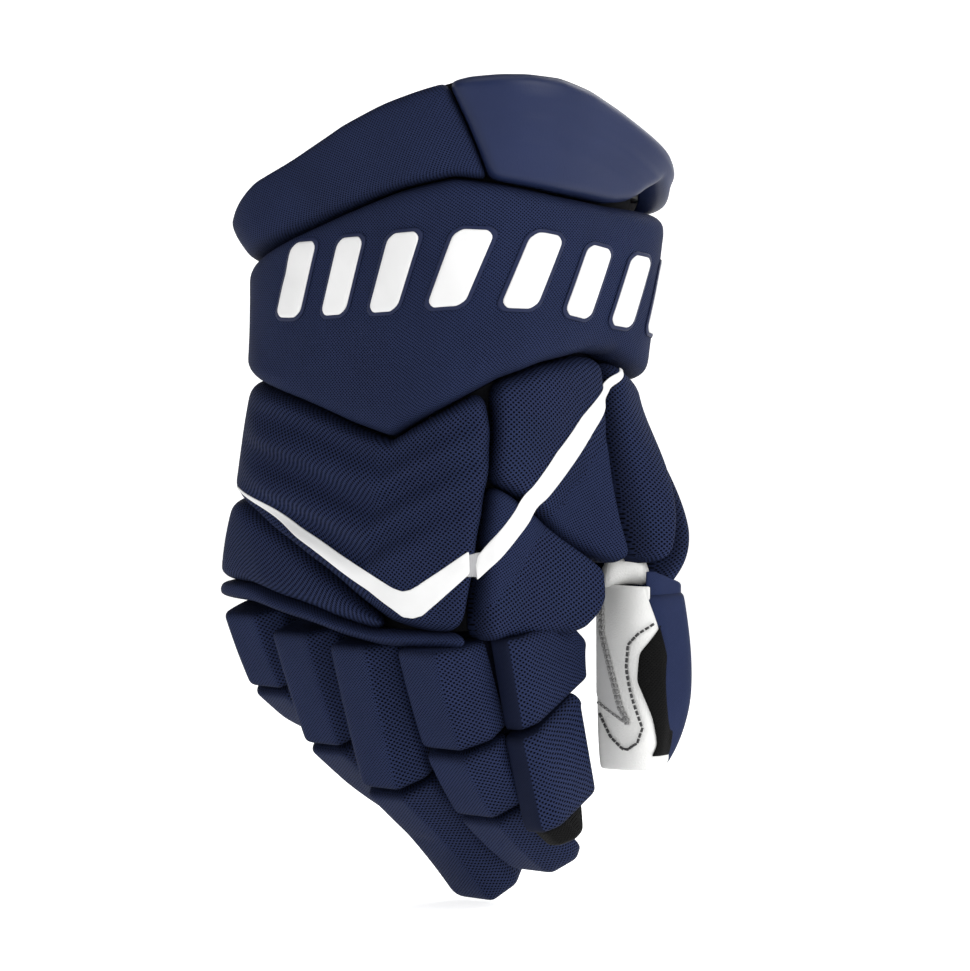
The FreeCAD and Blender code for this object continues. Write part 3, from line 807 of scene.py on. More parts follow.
# ---- padded panels on the hand -------------------------------------------------------------------
@dataclass
class Pad:
    """A padded panel sewn to the form, with rolled rims."""

    name: str
    body: str
    nodes: tuple[str, ...]
    slot: str
    cloth: Cloths
    left: tuple[float, float]
    right: tuple[float, float]
    top: Heights
    bottom: Heights
    inner: float
    outer: float | Relief
    rim: float = 7.0
    lift: float = 0.35
    crown: float = 1.0
    pitch: float = 3.0
    swell_to: float = 180.0
    relief: tuple[Relief, ...] = ()
    second: tuple[Cloths, Relief] | None = None
    puff: float = 2.0
    fill: float = 0.7
    obj: bpy.types.Object | None = None

    def _place(self, s: np.ndarray, t: np.ndarray) -> tuple[np.ndarray, np.ndarray]:
        """Angle and height at shares across and down."""
        start = self.left[0] + (self.left[1] - self.left[0]) * t
        end = self.right[0] + (self.right[1] - self.right[0]) * t
        angle = start + (end - start) * s
        return angle, self.top(angle) * (1 - t) + self.bottom(angle) * t

    def _out(self, angle: np.ndarray, z: np.ndarray) -> np.ndarray:
        """How far the outside stands off the lining."""
        return self.outer(angle, z) if callable(self.outer) else np.full(np.shape(angle), float(self.outer))

    def _reach(self, s: np.ndarray, t: np.ndarray) -> tuple:
        """Each point's distance from the left and upper edges, and the lengths of its row and column."""
        angle, z = self._place(s, t)
        grid = FORM.point(angle, z, self._out(angle, z), self.swell_to)
        across = np.linalg.norm(np.diff(grid, axis=0), axis=-1)
        down = np.linalg.norm(np.diff(grid, axis=1), axis=-1)
        du = np.concatenate([np.zeros((1, s.shape[1])), np.cumsum(across, 0)])
        dv = np.concatenate([np.zeros((s.shape[0], 1)), np.cumsum(down, 1)], 1)
        return du, dv, du[-1:] + 0 * du, dv[:, -1:] + 0 * dv

    def build(self) -> None:
        """Makes the pad's shell and puts it in the puff room."""
        probe = np.meshgrid(np.linspace(0, 1, 15), np.linspace(0, 1, 9), indexing="ij")
        _, _, wide, tall = self._reach(*probe)
        s, t = np.meshgrid(
            stations(float(wide.mean()), self.rim, self.pitch),
            stations(float(tall.mean()), self.rim, self.pitch),
            indexing="ij",
        )
        r = self.rim
        du, dv, wide, tall = self._reach(s, t)
        dx, dy = np.minimum(du, wide - du), np.minimum(dv, tall - dv)
        corner = np.hypot(np.maximum(r - dx, 0), np.maximum(r - dy, 0))
        pull = np.where((dx < r) & (dy < r) & (corner > r), r / np.maximum(corner, 1e-6), 1.0)
        new_x, new_y = r - (r - dx) * pull, r - (r - dy) * pull
        s = s + np.where(pull < 1, np.where(du < wide / 2, new_x - dx, dx - new_x) / wide, 0)
        t = t + np.where(pull < 1, np.where(dv < tall / 2, new_y - dy, dy - new_y) / tall, 0)
        dx, dy = np.where(pull < 1, new_x, dx), np.where(pull < 1, new_y, dy)
        inset = np.where((dx < r) & (dy < r), r - np.hypot(r - dx, r - dy), np.minimum(dx, dy))
        share = np.clip(inset / r, 0, 1)
        self.rise = self.lift + (1 - self.lift) * np.sqrt(np.clip(1 - (1 - share) ** 2, 0, 1))
        angle, z = self._place(s, t)
        top = self._out(angle, z)
        out = self.inner + (top - self.inner) * self.rise + self.crown * 4 * s * (1 - s) * 4 * t * (1 - t) * 0.5
        outer = FORM.point(angle, z, out, self.swell_to)
        inner = FORM.point(angle, z, np.full(out.shape, self.inner), self.swell_to)
        facing = FORM.point(angle, z, out + 1, self.swell_to) - outer
        self.facing = facing / np.linalg.norm(facing, axis=-1, keepdims=True)
        self.angle, self.z, self.grid = angle, z, outer
        self.obj = Tailor.shell(self.name, outer, inner, np.exp(-((inset / 2.2) ** 2)))
        held = np.concatenate(
            [np.where(inset < 0.35 * r, 1.0, 0.0).ravel(), np.ones(outer.shape[0] * outer.shape[1])]
        )
        if self.puff:
            PuffRoom.add(self.obj, held, self.puff)

    def finish(self) -> None:
        """Presses its ridges and channels in, smooths it and dresses it."""
        count = self.grid.shape[0] * self.grid.shape[1]
        points = np.zeros(len(self.obj.data.vertices) * 3, np.float32)
        self.obj.data.vertices.foreach_get("co", points)
        points = points.reshape(-1, 3)
        change = sum((f(self.angle, self.z) for f in self.relief), np.zeros(self.angle.shape))
        change = change * np.clip((self.rise - self.lift) / (1 - self.lift), 0, 1) ** 0.5
        points[:count] += ((change[..., None] * self.facing).reshape(-1, 3) * MM).astype(np.float32)
        self.obj.data.vertices.foreach_set("co", points.ravel())
        self.obj.data.materials.append(self.cloth.value.material())
        if self.second:
            cloth, region = self.second
            self.obj.data.materials.append(cloth.value.material())
            n, m = self.grid.shape[:2]
            mask = (region(self.angle, self.z) > 0).ravel()
            for face in self.obj.data.polygons:
                ids = [i for i in face.vertices if i < n * m]
                if len(ids) == 4 and sum(mask[i] for i in ids) >= 3:
                    face.material_index = 1
        Tailor.refine(self.obj)
        Tailor.dress(self.obj, self.body, self.cloth, self.slot, self.nodes)


@dataclass
class Skin:
    """A thin sheet of leather, mesh or lining on the form."""

    name: str
    body: str
    nodes: tuple[str, ...]
    slot: str | None
    cloth: Cloths
    left: tuple[float, float]
    right: tuple[float, float]
    top: Heights
    bottom: Heights
    inner: float
    outer: float
    held: str = "stretched"
    rests_on: tuple[str, ...] = ()
    pitch: float = 4.0
    swell_to: float = 180.0
    ripple: float = 0.0
    blend: tuple | None = None
    trim: Callable[[np.ndarray, np.ndarray, np.ndarray], np.ndarray] | None = None

    def build(self) -> bpy.types.Object:
        """Makes, smooths and dresses the sheet."""
        probe = Pad(
            self.name, self.body, (), "", self.cloth, self.left, self.right, self.top, self.bottom,
            self.inner,
            self.outer, swell_to=self.swell_to,
        )
        grids = np.meshgrid(np.linspace(0, 1, 15), np.linspace(0, 1, 9), indexing="ij")
        _, _, wide, tall = probe._reach(*grids)
        s, t = np.meshgrid(
            stations(float(wide.mean()), 2.0, self.pitch), stations(float(tall.mean()), 2.0, self.pitch),
            indexing="ij"
        )
        angle, z = probe._place(s, t)
        if self.trim is not None:
            z = self.trim(angle, z, t)
        wave = self.ripple * (
            np.sin(z * 0.31 + angle * 0.13) * np.sin(angle * 0.21 - z * 0.05) + 0.5 * np.sin(z * 0.17 - angle * 0.27)
        )
        wave = wave * (4 * s * (1 - s)) * (4 * t * (1 - t))
        outer = FORM.point(angle, z, self.outer + wave, self.swell_to)
        inner = FORM.point(angle, z, self.inner + wave, self.swell_to)
        width, length = Tailor.area(outer)
        edge = np.minimum(np.minimum(s, 1 - s) * width, np.minimum(t, 1 - t) * length) / MM
        obj = Tailor.shell(self.name, outer, inner, np.exp(-((edge / 1.5) ** 2)))
        Tailor.refine(obj)
        if self.blend:
            obj.data.materials.append(self.cloth.value.material())
            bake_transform(obj)
        else:
            Tailor.dress(obj, self.body, self.cloth, self.slot, self.nodes)
        return obj


# ---- sub-assemblies of the hand ------------------------------------------------------------------
def chevrons(angle: np.ndarray, z: np.ndarray) -> np.ndarray:
    """The back pad's soft V ridges, which follow the band's lower edge."""
    below = BAND_BOTTOM(angle) - z
    side = smooth(-142, -122, angle) * (1 - smooth(-47, -40, angle) * 0.4)
    wave = np.cos((below - 19.0) * 2 * math.pi / 19.0)
    crest = np.sign(wave) * np.abs(wave) ** 0.8
    return 2.6 * crest * smooth(3, 12, below) * (1 - smooth(52, 66, below)) * side


@dataclass
class BackOfHand:
    """The pads over the back of the hand and along its knuckles."""

    pads: list[Pad] = field(default_factory=list)

    def build(self) -> None:
        """Makes the pads."""
        self.pads = [
            Pad(
                "back_pad", "hand", ("backhand_pad",), "navy_mesh", Cloths.PAD, (WRAP, WRAP + 6),
                (-37.6, -19.0),
                UNDER_BAND, BACK_BOTTOM, 3.0, 13.0, rim=7, crown=1.5, relief=(chevrons,), puff=2.5, pitch=2.6,
            ),
            Pad(
                "lower_back_pad", "hand", ("backhand_lower_pad",), "navy_mesh", Cloths.PAD,
                (WRAP + 6, WRAP + 13),
                (-47, -45), BACK_BOTTOM.lowered(0.6), LOW_PAD_BOTTOM, 0.3, 13.0, rim=6, crown=1.5, puff=2.0,
            ),
            Pad(
                "knuckle_roll_pad", "hand", ("knuckle_roll",), "navy_mesh", Cloths.FINE,
                (WRAP + 13, WRAP + 15),
                (-19.0, -17.5), LOW_PAD_BOTTOM.lowered(-0.3), ROLL_BOTTOM.lowered(1.4), 0.3, 12.4, rim=3.2,
                crown=1.0,
                pitch=3.0, lift=0.5, puff=0.0, relief=(),
            ),
        ]
        for pad in self.pads:
            pad.build()

    def finish(self) -> None:
        """Finishes the pads."""
        for pad in self.pads:
            pad.finish()
            log.info("built %s", pad.name)


def side_wedge(angle: np.ndarray, z: np.ndarray) -> np.ndarray:
    """How far the lower side pad stands off."""
    return 12.0 + 18.0 * smooth(-6, 21, angle) * smooth(-200, -160, z)


@dataclass
class SideOfHand:
    """The pads between the back of the hand and the thumb, and over the thumb's root."""

    pads: list[Pad] = field(default_factory=list)

    def build(self) -> None:
        """Makes the pads."""
        upper_facet = ((14.2, -60), (14.2, -94.3), (-2.8, -129.8))
        lower_facet = ((-2.3, -131.4), (-19.3, -176))
        self.pads = [
            Pad(
                "side_pad_upper", "hand", ("side_upper_pad",), "navy_mesh", Cloths.PAD, (-35.6, -29.6),
                (9.4, 20.4),
                UNDER_BAND, SIDE_SPLIT, 0.3, 12.0, rim=6, crown=1.5, relief=(groove(upper_facet, 1.6, 1.1),),
                second=(Cloths.FINE, lambda a, z: a - np.interp(z, (-129.8, -94.3), (-2.8, 14.2))), pitch=2.5,
            ),
            Pad(
                "thumb_side_pad", "hand", ("thumb_side_roll",), "navy_mesh", Cloths.PAD, (13.2, 22.2),
                (35.6, 25.0),
                UNDER_BAND, level(-149), 0.3, 12.5, rim=6, crown=1.0, pitch=2.5,
            ),
            Pad(
                "side_pad_lower", "hand", ("side_lower_pad",), "navy_mesh", Cloths.PAD, (-28.6, -13.0),
                (18, 20),
                SIDE_SPLIT.lowered(0.5), SIDE_BOTTOM, 0.3, side_wedge, rim=6, crown=1.5, swell_to=-180.0,
                relief=(groove(lower_facet, 1.6, 1.1),), pitch=2.5,
                second=(Cloths.FINE, lambda a, z: np.interp(z, (-176, -131.4), (-19.3, -2.3)) - a),
            ),
            Pad(
                "thumb_saddle_pad", "hand", ("thumb_saddle",), "navy_mesh", Cloths.PAD, (37.5, 37.5),
                (66, 66),
                UNDER_BAND, level(ROOT_TOP), 0.3, 9.0, rim=5, crown=0.8, puff=1.5,
            ),
            Pad(
                "thumb_root_cushion", "hand", ("thumb_root_pad",), "navy_mesh", Cloths.COARSE, (37.4, 25.8),
                (46.4, 46.4), level(ROOT_TOP - 0.6), level(ROOT_BOTTOM), 0.3, 12.5, rim=5, crown=1.5,
                pitch=2.5,
                puff=2.0,
            ),
        ]
        for pad in self.pads:
            pad.build()

    def finish(self) -> None:
        """Finishes the pads."""
        for pad in self.pads:
            pad.finish()
            log.info("built %s", pad.name)


@dataclass
class Cuff:
    """The cuff: its lining, the wide wrist band, the back roll, the thumb-side shell and the elastic."""

    pads: list[Pad] = field(default_factory=list)

    def build(self) -> None:
        """Makes the pads."""

        def ridges(angle: np.ndarray, z: np.ndarray) -> np.ndarray:
            """The shell's three shallow curved ridges."""
            reach = np.zeros(np.shape(angle))
            for lift in (0.0, 9.5, 19.0):
                line = ((-39, 36 - lift), (-20, 36 - lift), (5, 24 - lift), (30, 7 - lift), (60, -2 - lift))
                reach += 0.9 * np.exp(-((off_line(angle, z, line) / 2.6) ** 2))
            return reach * smooth(-42, -30, angle)

        def flare(angle: np.ndarray, z: np.ndarray) -> np.ndarray:
            """The back roll stands off further at its little-finger side."""
            return 12.0 + 9.0 * smooth(-108, -145, angle) * smooth(-36, -12, z)

        self.pads = [
            Pad(
                "wrist_band_pad", "cuff", ("wrist_band",), "fine_navy_mesh", Cloths.FINE, (WRAP, WRAP),
                (CUFF_END, CUFF_END), BAND_TOP, BAND_BOTTOM, 0.3, 15.4, rim=7, crown=1.2, puff=1.6, pitch=2.8,
            ),
            Pad(
                "cuff_back_pad", "cuff", ("cuff_back_roll",), "fine_navy_mesh", Cloths.FINE, (WRAP, WRAP),
                (-52.6, -40.7), CUFF_TOP, OVER_BAND, 3.0, flare, rim=3.6, crown=2.0, puff=2.5, pitch=3.0,
                lift=0.5,
            ),
            Pad(
                "cuff_shell", "cuff", ("cuff_thumb_shell",), "smooth_navy", Cloths.SHELL, (-52.2, -40.3),
                (CUFF_END, CUFF_END), CUFF_TOP, SHELL_BOTTOM, 3.0, 14.4, rim=4.5, crown=1.6, puff=2.0,
                pitch=2.5,
                relief=(ridges,), lift=0.5,
            ),
        ]
        for pad in self.pads:
            pad.build()

    def finish(self) -> None:
        """Finishes the pads and adds the lining, the bridge inside the wrist and the elastic."""
        for pad in self.pads:
            pad.finish()
            log.info("built %s", pad.name)
        Skin(
            "cuff_liner", "cuff", ("cuff_lining",), "lining", Cloths.LINING, (WRAP, WRAP),
            (CUFF_END, CUFF_END),
            CUFF_TOP.lowered(0.5), BAND_BOTTOM.lowered(-2), -2.0, 0.0, ripple=0.25,
        ).build()
        Skin(
            "elastic_band", "cuff", ("cuff_elastic",), "black_elastic", Cloths.ELASTIC, (66.8, 66.8),
            (146.2, 146.2),
            level(-42), level(-66), 0.3, 2.0, held="stretched",
        ).build()
        Skin(
            "wrist_gusset", "cuff", (), None, Cloths.CHANNEL, (WRAP + 2, WRAP + 2), (CUFF_END, CUFF_END),
            level(-50),
            level(-114), -4.2, -3.0, ripple=0.6, blend=("cuff", "hand", (0, 0.02, -0.056), (0, 0.02, -0.106)),
            held="gathered",
        ).build()
        log.info("built cuff_liner, elastic_band and wrist_gusset")


# ---- fingers -------------------------------------------------------------------------------------
def along(tilt: float) -> np.ndarray:
    """The way a segment points, as y and z."""
    return np.array([math.sin(math.radians(tilt)), -math.cos(math.radians(tilt))])


def backward(tilt: float) -> np.ndarray:
    """The way a segment's back faces, as y and z."""
    return np.array([-math.cos(math.radians(tilt)), -math.sin(math.radians(tilt))])


@dataclass
class Finger:
    """One finger: foam rolls over a mesh stall with a leather palm, folding at lines on its palm side."""

    name: str
    x: float
    y: float
    z: float
    width: float
    segments: tuple[tuple[float, float, float], ...]
    relief: float = 3.0
    roll_relief: float = 1.6
    gap: float = 0.3
    roll_share: float = 0.38
    stall_side: float = 2.5
    wall: float = 1.8
    nose: float = 5.0
    droop: float = 0.6
    rolls: list[tuple] = field(default_factory=list)

    def lines(self) -> tuple[list, list]:
        """Each segment's start on the back with its mitre tilt, and its hinge."""
        back, last, corners, hinges = np.array([self.y, self.z]), 0.0, [], []
        for tilt, length, depth in self.segments:
            mitre = (tilt + last) / 2
            down = depth / math.cos(math.radians(tilt - last) / 2)
            corners.append((back, mitre))
            hinges.append(back - backward(mitre) * (down + self.gap))
            back, last = back + along(tilt) * length, tilt
        return corners, hinges

    def ends(self, k: int, relief: float) -> tuple[Callable, Callable]:
        """Where a segment starts and ends along itself, for a height over its palm face."""
        corners, hinges = self.lines()
        tilt, length, depth = self.segments[k]
        a, b = along(tilt), backward(tilt)
        origin = corners[k][0] - b * depth

        def plane(j: int, turn: float, side: float) -> Callable:
            mitre = corners[j][1]
            hinge, normal = hinges[j] + along(mitre) * (self.gap / 2 * side), along(mitre + turn)
            return lambda y: ((hinge - origin) @ normal - y * (b @ normal)) / (a @ normal)

        start = plane(k, relief, 1.0)
        stop = plane(k + 1, -relief, -1.0) if k + 1 < len(self.segments) else (lambda y: length + 0 * y)
        return start, stop

    def world(self, k: int, points: np.ndarray) -> np.ndarray:
        """Points in a segment's frame (x across, y out of its back, z along) as points in the model's."""
        tilt, _, depth = self.segments[k]
        corners, _ = self.lines()
        a, b = along(tilt), backward(tilt)
        origin = corners[k][0] - b * depth
        y = origin[0] + points[..., 1] * b[0] + points[..., 2] * a[0]
        z = origin[1] + points[..., 1] * b[1] + points[..., 2] * a[1]
        return np.stack([points[..., 0] + self.x, y, z], -1)

    def roll(self, k: int) -> None:
        """A foam roll: a flat back, a facet on its thumb side, soft rims, and a nose on the last one."""
        tilt, length, depth = self.segments[k]
        last = k == len(self.segments) - 1
        thick = depth * self.roll_share
        low, w = depth - thick, self.width / 2
        start, stop = self.ends(k, self.roll_relief)
        facet = min(9.5, self.width * 0.3)
        # the section's corners: x, height over the palm face as a share, rounding
        def section(top: float) -> np.ndarray:
            h = top - low
            corners = (
                (-w + 0.8, low, 1.2), (-w, low + h * 0.45, 4.0), (-w + 1.6, top, 3.6),
                (w - facet, top + 0.6, 1.6),
                (w + 0.3, top - min(facet * 0.95, h * 0.55), 2.4), (w - 0.6, low, 1.2),
            )
            return rounded(corners)

        tip = length + self.nose
        stop_at = tip if last else float(stop(depth))
        begin_at = float(start(depth))
        total = stop_at - begin_at
        places = stations(total, 4.0, 2.6)
        ring0 = section(depth)
        rings, rims = [], []
        for p in places:
            d = min(p, 1 - p) * total
            r = 2.8 if not (last and p > 0.5) else 8.0
            shrink = r * (1 - math.sqrt(max(0.0, 1 - (1 - min(d / r, 1)) ** 2)))
            zc = begin_at + total * p
            top = depth + 0.6 * math.sin(math.pi * p)
            if last:
                run = max(0.0, zc / length - 0.5)
                top -= self.droop * (run * 8.0 + run**2 * 10.0)
            ring = section(max(top, low + 4.0))
            f = np.array([1 - shrink / w * 0.8, 1 - min(0.75, shrink / max(top - low, 1.0) * 0.85)])
            x, y = ring[:, 0] * f[0], low + (ring[:, 1] - low) * f[1]
            if last:
                z = start(y) * (1 - p) + tip * p
            else:
                z = start(y) * (1 - p) + stop(y) * p
            rings.append(np.stack([x, y, z], -1))
            rims.append(np.full(len(x), math.exp(-((d / 2.0) ** 2))))
        grid = np.stack(rings, 1)  # round the section, then along
        self._closed_bar(f"{self.name}_pad_{k + 1}", k, grid, np.stack(rims, 1), ring0)

    def _closed_bar(self, name: str, k: int, grid: np.ndarray, rim: np.ndarray, ring0: np.ndarray) -> None:
        """Closes a swept grid at both ends and keeps it for the puff room."""
        n, m = grid.shape[:2]
        world = self.world(k, grid)
        lap = np.linalg.norm(np.diff(np.concatenate([ring0, ring0[:1]]), axis=0), axis=1)
        u = np.concatenate([[0], np.cumsum(lap)[:-1]])
        v = np.concatenate([[0], np.cumsum(np.linalg.norm(np.diff(world[n // 2], axis=0), axis=-1))])
        uv = np.stack(np.broadcast_arrays(u[:, None], -v[None, :]), -1).reshape(-1, 2)
        faces = [
            (i * m + j, i * m + j + 1, ((i + 1) % n) * m + j + 1, ((i + 1) % n) * m + j)
            for i in range(n) for j in range(m - 1)
        ]
        points, extra_uv, extra_rim = [world.reshape(-1, 3)], [uv], [rim.ravel()]
        base = n * m
        for j in (0, m - 1):
            centre = world[:, j].mean(0)
            inner = world[:, j] * 0.45 + centre * 0.55
            points += [inner, centre[None]]
            extra_uv += [uv.reshape(n, m, 2)[:, j] * np.array([1.0, 1.0]), uv.reshape(n, m, 2)[:1, j]]
            # the end caps count as mostly seam, so the finishes paint shade on them
            extra_rim += [np.full(n, 0.8), np.array([0.8])]
            for i in range(n):
                q = (i + 1) % n
                faces.append((i * m + j, q * m + j, base + q, base + i))
                faces.append((base + i, base + q, base + n))
            base += n + 1
        obj = Tailor.mesh(
            name, np.concatenate(points), faces, np.concatenate(extra_uv), np.concatenate(extra_rim)
        )
        y = np.concatenate([grid[..., 1].ravel(), np.full(2 * (n + 1), -1.0)])
        d = self.segments[k][2]
        held = np.where(y < d - d * self.roll_share + 3.0, 1.0, 0.0)
        inside = np.concatenate([rim.ravel() < 0.4, np.zeros(2 * (n + 1), bool)])
        held = np.where(inside, held, 1.0)
        PuffRoom.add(obj, held, 1.3)
        self.rolls.append((obj, k, n, m))

    def build(self) -> None:
        """Makes the rolls."""
        for k in range(len(self.segments)):
            self.roll(k)

    def finish(self) -> None:
        """Finishes the rolls and makes the stalls, palm strips and fold bridges."""
        for obj, k, n, m in self.rolls:
            obj.data.materials.append(Cloths.FINE.value.material())
            obj.data.materials.append(Cloths.PAD.value.material())
            for face in obj.data.polygons:
                ids = [i for i in face.vertices if i < n * m]
                if len(ids) == 4:
                    x = obj.data.vertices[ids[0]].co.x / MM - self.x
                    normal = face.normal
                    if normal.x > 0.35 and x > self.width * 0.12:
                        face.material_index = 1
            Tailor.refine(obj)
            Tailor.dress(
                obj, f"{self.name}_{k + 1}", Cloths.FINE, "navy_mesh", (f"{self.name}_roll_{k + 1}",)
            )
        for k in range(len(self.segments)):
            self.stall(k)
            self.strip(k)
            self.bridge(k)
        log.info("built %s finger, %d segments", self.name, len(self.segments))

    def stall(self, k: int) -> None:
        """The mesh channel that the finger sits in, closed at the fingertip."""
        _, length, depth = self.segments[k]
        last = k == len(self.segments) - 1
        high = depth * (1 - self.roll_share) - self.gap
        w = self.width / 2 - self.stall_side
        start, stop = self.ends(k, self.relief)

        def path(inset: float) -> np.ndarray:
            top, side = high - inset, w - inset
            return arch(side, 2.3 + 0 * inset, top, 4.0)

        outline, inline = path(0.0), path(self.wall)
        total = (length if last else float(stop(high / 2))) - float(start(high / 2))
        places = stations(max(total, 8.0), 1.5, 4.0)
        outer, inner = [], []
        for p in places:
            for line, grids, inset in ((outline, outer, 0.0), (inline, inner, self.wall)):
                end = (length - inset) + 0 * line[:, 1] if last else stop(line[:, 1])
                z = start(line[:, 1]) * (1 - p) + end * p
                nose = 0.0
                if last:
                    d = (1 - p) * total
                    nose = 1 - math.sqrt(max(0.0, 1 - (1 - min(d / 9.0, 1)) ** 2))
                x = line[:, 0] * (1 - nose * 0.55)
                curl = max(0.0, (p * total - (total - 10)) / 10) ** 2 if last else 0.0
                y = line[:, 1] - (line[:, 1] - 4.0) * nose * 0.35
                y = y + curl * 6.5 * (1 - (line[:, 1] - 2.3) / (high - 2.3))
                grids.append(np.stack([x, y, z], -1))
        outer, inner = self.world(k, np.stack(outer, 1)), self.world(k, np.stack(inner, 1))
        obj = Tailor.shell(f"{self.name}_stall_{k + 1}", outer, inner, np.zeros(outer.shape[:2]))
        Tailor.refine(obj)
        Tailor.dress(
            obj, f"{self.name}_{k + 1}", Cloths.CHANNEL, "black_mesh", (f"{self.name}_gusset_{k + 1}",)
        )
        Tailor.cloth(obj, outer, "stretched", [f"{self.name}_pad_{k + 1}"])
        if last:
            self.tip(k, outer[:, -1], high, w)

    def tip(self, k: int, ring: np.ndarray, high: float, w: float) -> None:
        """The patch that closes the fingertip."""
        _, length, _ = self.segments[k]
        us, vs = np.linspace(-1, 1, 9), np.linspace(0, 1, 7)
        grid = np.zeros((9, 7, 3))
        for i, a in enumerate(us):
            for j, b in enumerate(vs):
                y = 7.6 + (high * 0.78 - 7.6) * b
                bulge = (1 - a * a) * (1 - (2 * b - 1) ** 2)
                grid[i, j] = (a * w * 0.62, y, length - 1.2 + 1.2 * bulge)
        back = grid - np.array([0, 0, 1.4])
        outer, inner = self.world(k, grid), self.world(k, back)
        obj = Tailor.shell(f"{self.name}_tip", outer, inner, np.zeros((9, 7)))
        Tailor.refine(obj)
        Tailor.dress(obj, f"{self.name}_{k + 1}", Cloths.CHANNEL, "black_mesh")
        Tailor.cloth(obj, outer, "stretched")

    def strip(self, k: int) -> None:
        """The leather under the segment, bulging a little between its folds."""
        _, length, _ = self.segments[k]
        last = k == len(self.segments) - 1
        w = self.width / 2 - self.stall_side + 0.8
        start, stop = self.ends(k, self.relief)
        s = stations(2 * w, 2.0, 3.0) * 2 - 1
        total = (length if last else float(stop(0))) - float(start(0))
        t = stations(max(total, 8.0), 2.0, 3.0)
        a, p = np.meshgrid(s, t, indexing="ij")
        z0 = float(start(0.0)) + 0.25
        z1 = length if last else float(stop(0.0)) - 0.25
        z = z0 + (z1 - z0) * p
        curl = np.where(np.full(a.shape, last), np.clip((p * total - (total - 10)) / 10, 0, 1) ** 2, 0)
        lift = np.sin(math.pi * np.clip(p, 0, 1)) * (1 - a * a) * 1.1 - curl * 7.0
        fold = 0.25 * np.sin(p * total * 0.9) * (1 - a * a) * np.sin(math.pi * p)
        x = a * w * (1 - 0.35 * curl)
        outer = np.stack([x, -lift - fold, z], -1)
        inner = np.stack([x, -lift - fold + 1.7, z], -1)
        outer, inner = self.world(k, outer), self.world(k, inner)
        edge = np.minimum((1 - np.abs(a)) * w, np.minimum(p, 1 - p) * total)
        obj = Tailor.shell(f"{self.name}_palm_{k + 1}", outer, inner, np.exp(-((edge / 1.5) ** 2)))
        Tailor.refine(obj)
        Tailor.dress(
            obj, f"{self.name}_{k + 1}", Cloths.LEATHER, "palm_leather", (f"{self.name}_strip_{k + 1}",)
        )
        Tailor.cloth(obj, outer, "stretched", [f"{self.name}_stall_{k + 1}"])

    def bridge(self, k: int) -> None:
        """The sleeve inside a fold, spanning both of its sides."""
        _, _, depth = self.segments[k]
        high = depth * (1 - self.roll_share) - self.gap - self.wall - 0.5
        w = self.width / 2 - self.stall_side - self.wall - 0.5
        corners, hinges = self.lines()
        start, _ = self.ends(k, 0.0)
        line = loop(w, 2.6, high, 3.0)
        t = np.linspace(-1, 1, 13)
        outer, inner = [], []
        for p in t:
            for inset, grids in ((0.0, outer), (0.9, inner)):
                x = line[:, 0] * (1 - inset / w)
                mid = (high + 2.6) / 2
                y = mid + (line[:, 1] - mid) * (1 - inset / mid)
                pleat = 0.5 * math.cos(p * math.pi * 3) - 0.5
                x = x * (1 + pleat / w * 0.8)
                grids.append(np.stack([x, y, start(y) + p * 8.0], -1))
        outer, inner = self.world(k, np.stack(outer, 1)), self.world(k, np.stack(inner, 1))
        obj = Tailor.shell(f"{self.name}_fold_{k + 1}", outer, inner, np.zeros(outer.shape[:2]), wrap=True)
        Tailor.refine(obj)
        obj.data.materials.append(Cloths.CHANNEL.value.material())
        mitre, hinge = corners[k][1], hinges[k]
        mid = (hinge + corners[k][0]) / 2
        a, b = mid - along(mitre) * 6, mid + along(mitre) * 6
        a[0] * MM
        a[1] * MM
        b[0] * MM
        b[1] * MM
        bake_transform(obj)
        Tailor.cloth(obj, np.concatenate([outer, outer[:1]]), "gathered")


def rounded(corners: Sequence[tuple[float, float, float]], arc: int = 5, side: int = 4) -> np.ndarray:
    """A closed section with its corners rounded.

    Args:
        corners: x, y and rounding radius of each, in order.
        arc: points on each rounding.
        side: points on each straight side.

    Returns:
        The section's points.
    """
    made, count = [], len(corners)
    ends = []
    for i, (x, y, r) in enumerate(corners):
        here = np.array([x, y])
        before, after = np.array(corners[i - 1][:2]), np.array(corners[(i + 1) % count][:2])
        a, b = before - here, after - here
        la, lb = np.linalg.norm(a), np.linalg.norm(b)
        cut = min(r, la * 0.45, lb * 0.45)
        ends.append((here + a / la * cut, here, here + b / lb * cut))
    for i in range(count):
        first, here, second = ends[i]
        for t in np.linspace(0, 1, arc):
            made.append((1 - t) ** 2 * first + 2 * t * (1 - t) * here + t * t * second)
        follow = ends[(i + 1) % count][0]
        for t in np.linspace(0, 1, side + 2)[1:-1]:
            made.append(second * (1 - t) + follow * t)
    return np.array(made)


def arch(w: float, low: float, high: float, r: float) -> np.ndarray:
    """An open line up one side, over and down the other, with rounded shoulders."""
    left = [(-w, low + (high - r - low) * t) for t in np.linspace(0, 1, 6)]
    turn = [(-w + r - r * math.cos(q), high - r + r * math.sin(q)) for q in np.linspace(0, math.pi / 2, 6)[1:]]
    over = [(-w + r + (2 * w - 2 * r) * t, high) for t in np.linspace(0, 1, 7)[1:-1]]
    half = left + turn
    return np.array(half + over + [(-x, y) for x, y in reversed(half)])


def loop(w: float, low: float, high: float, r: float) -> np.ndarray:
    """A closed rounded rectangle."""
    return rounded(((-w, low, r), (-w, high, r), (w, high, r), (w, low, r)), 5, 4)


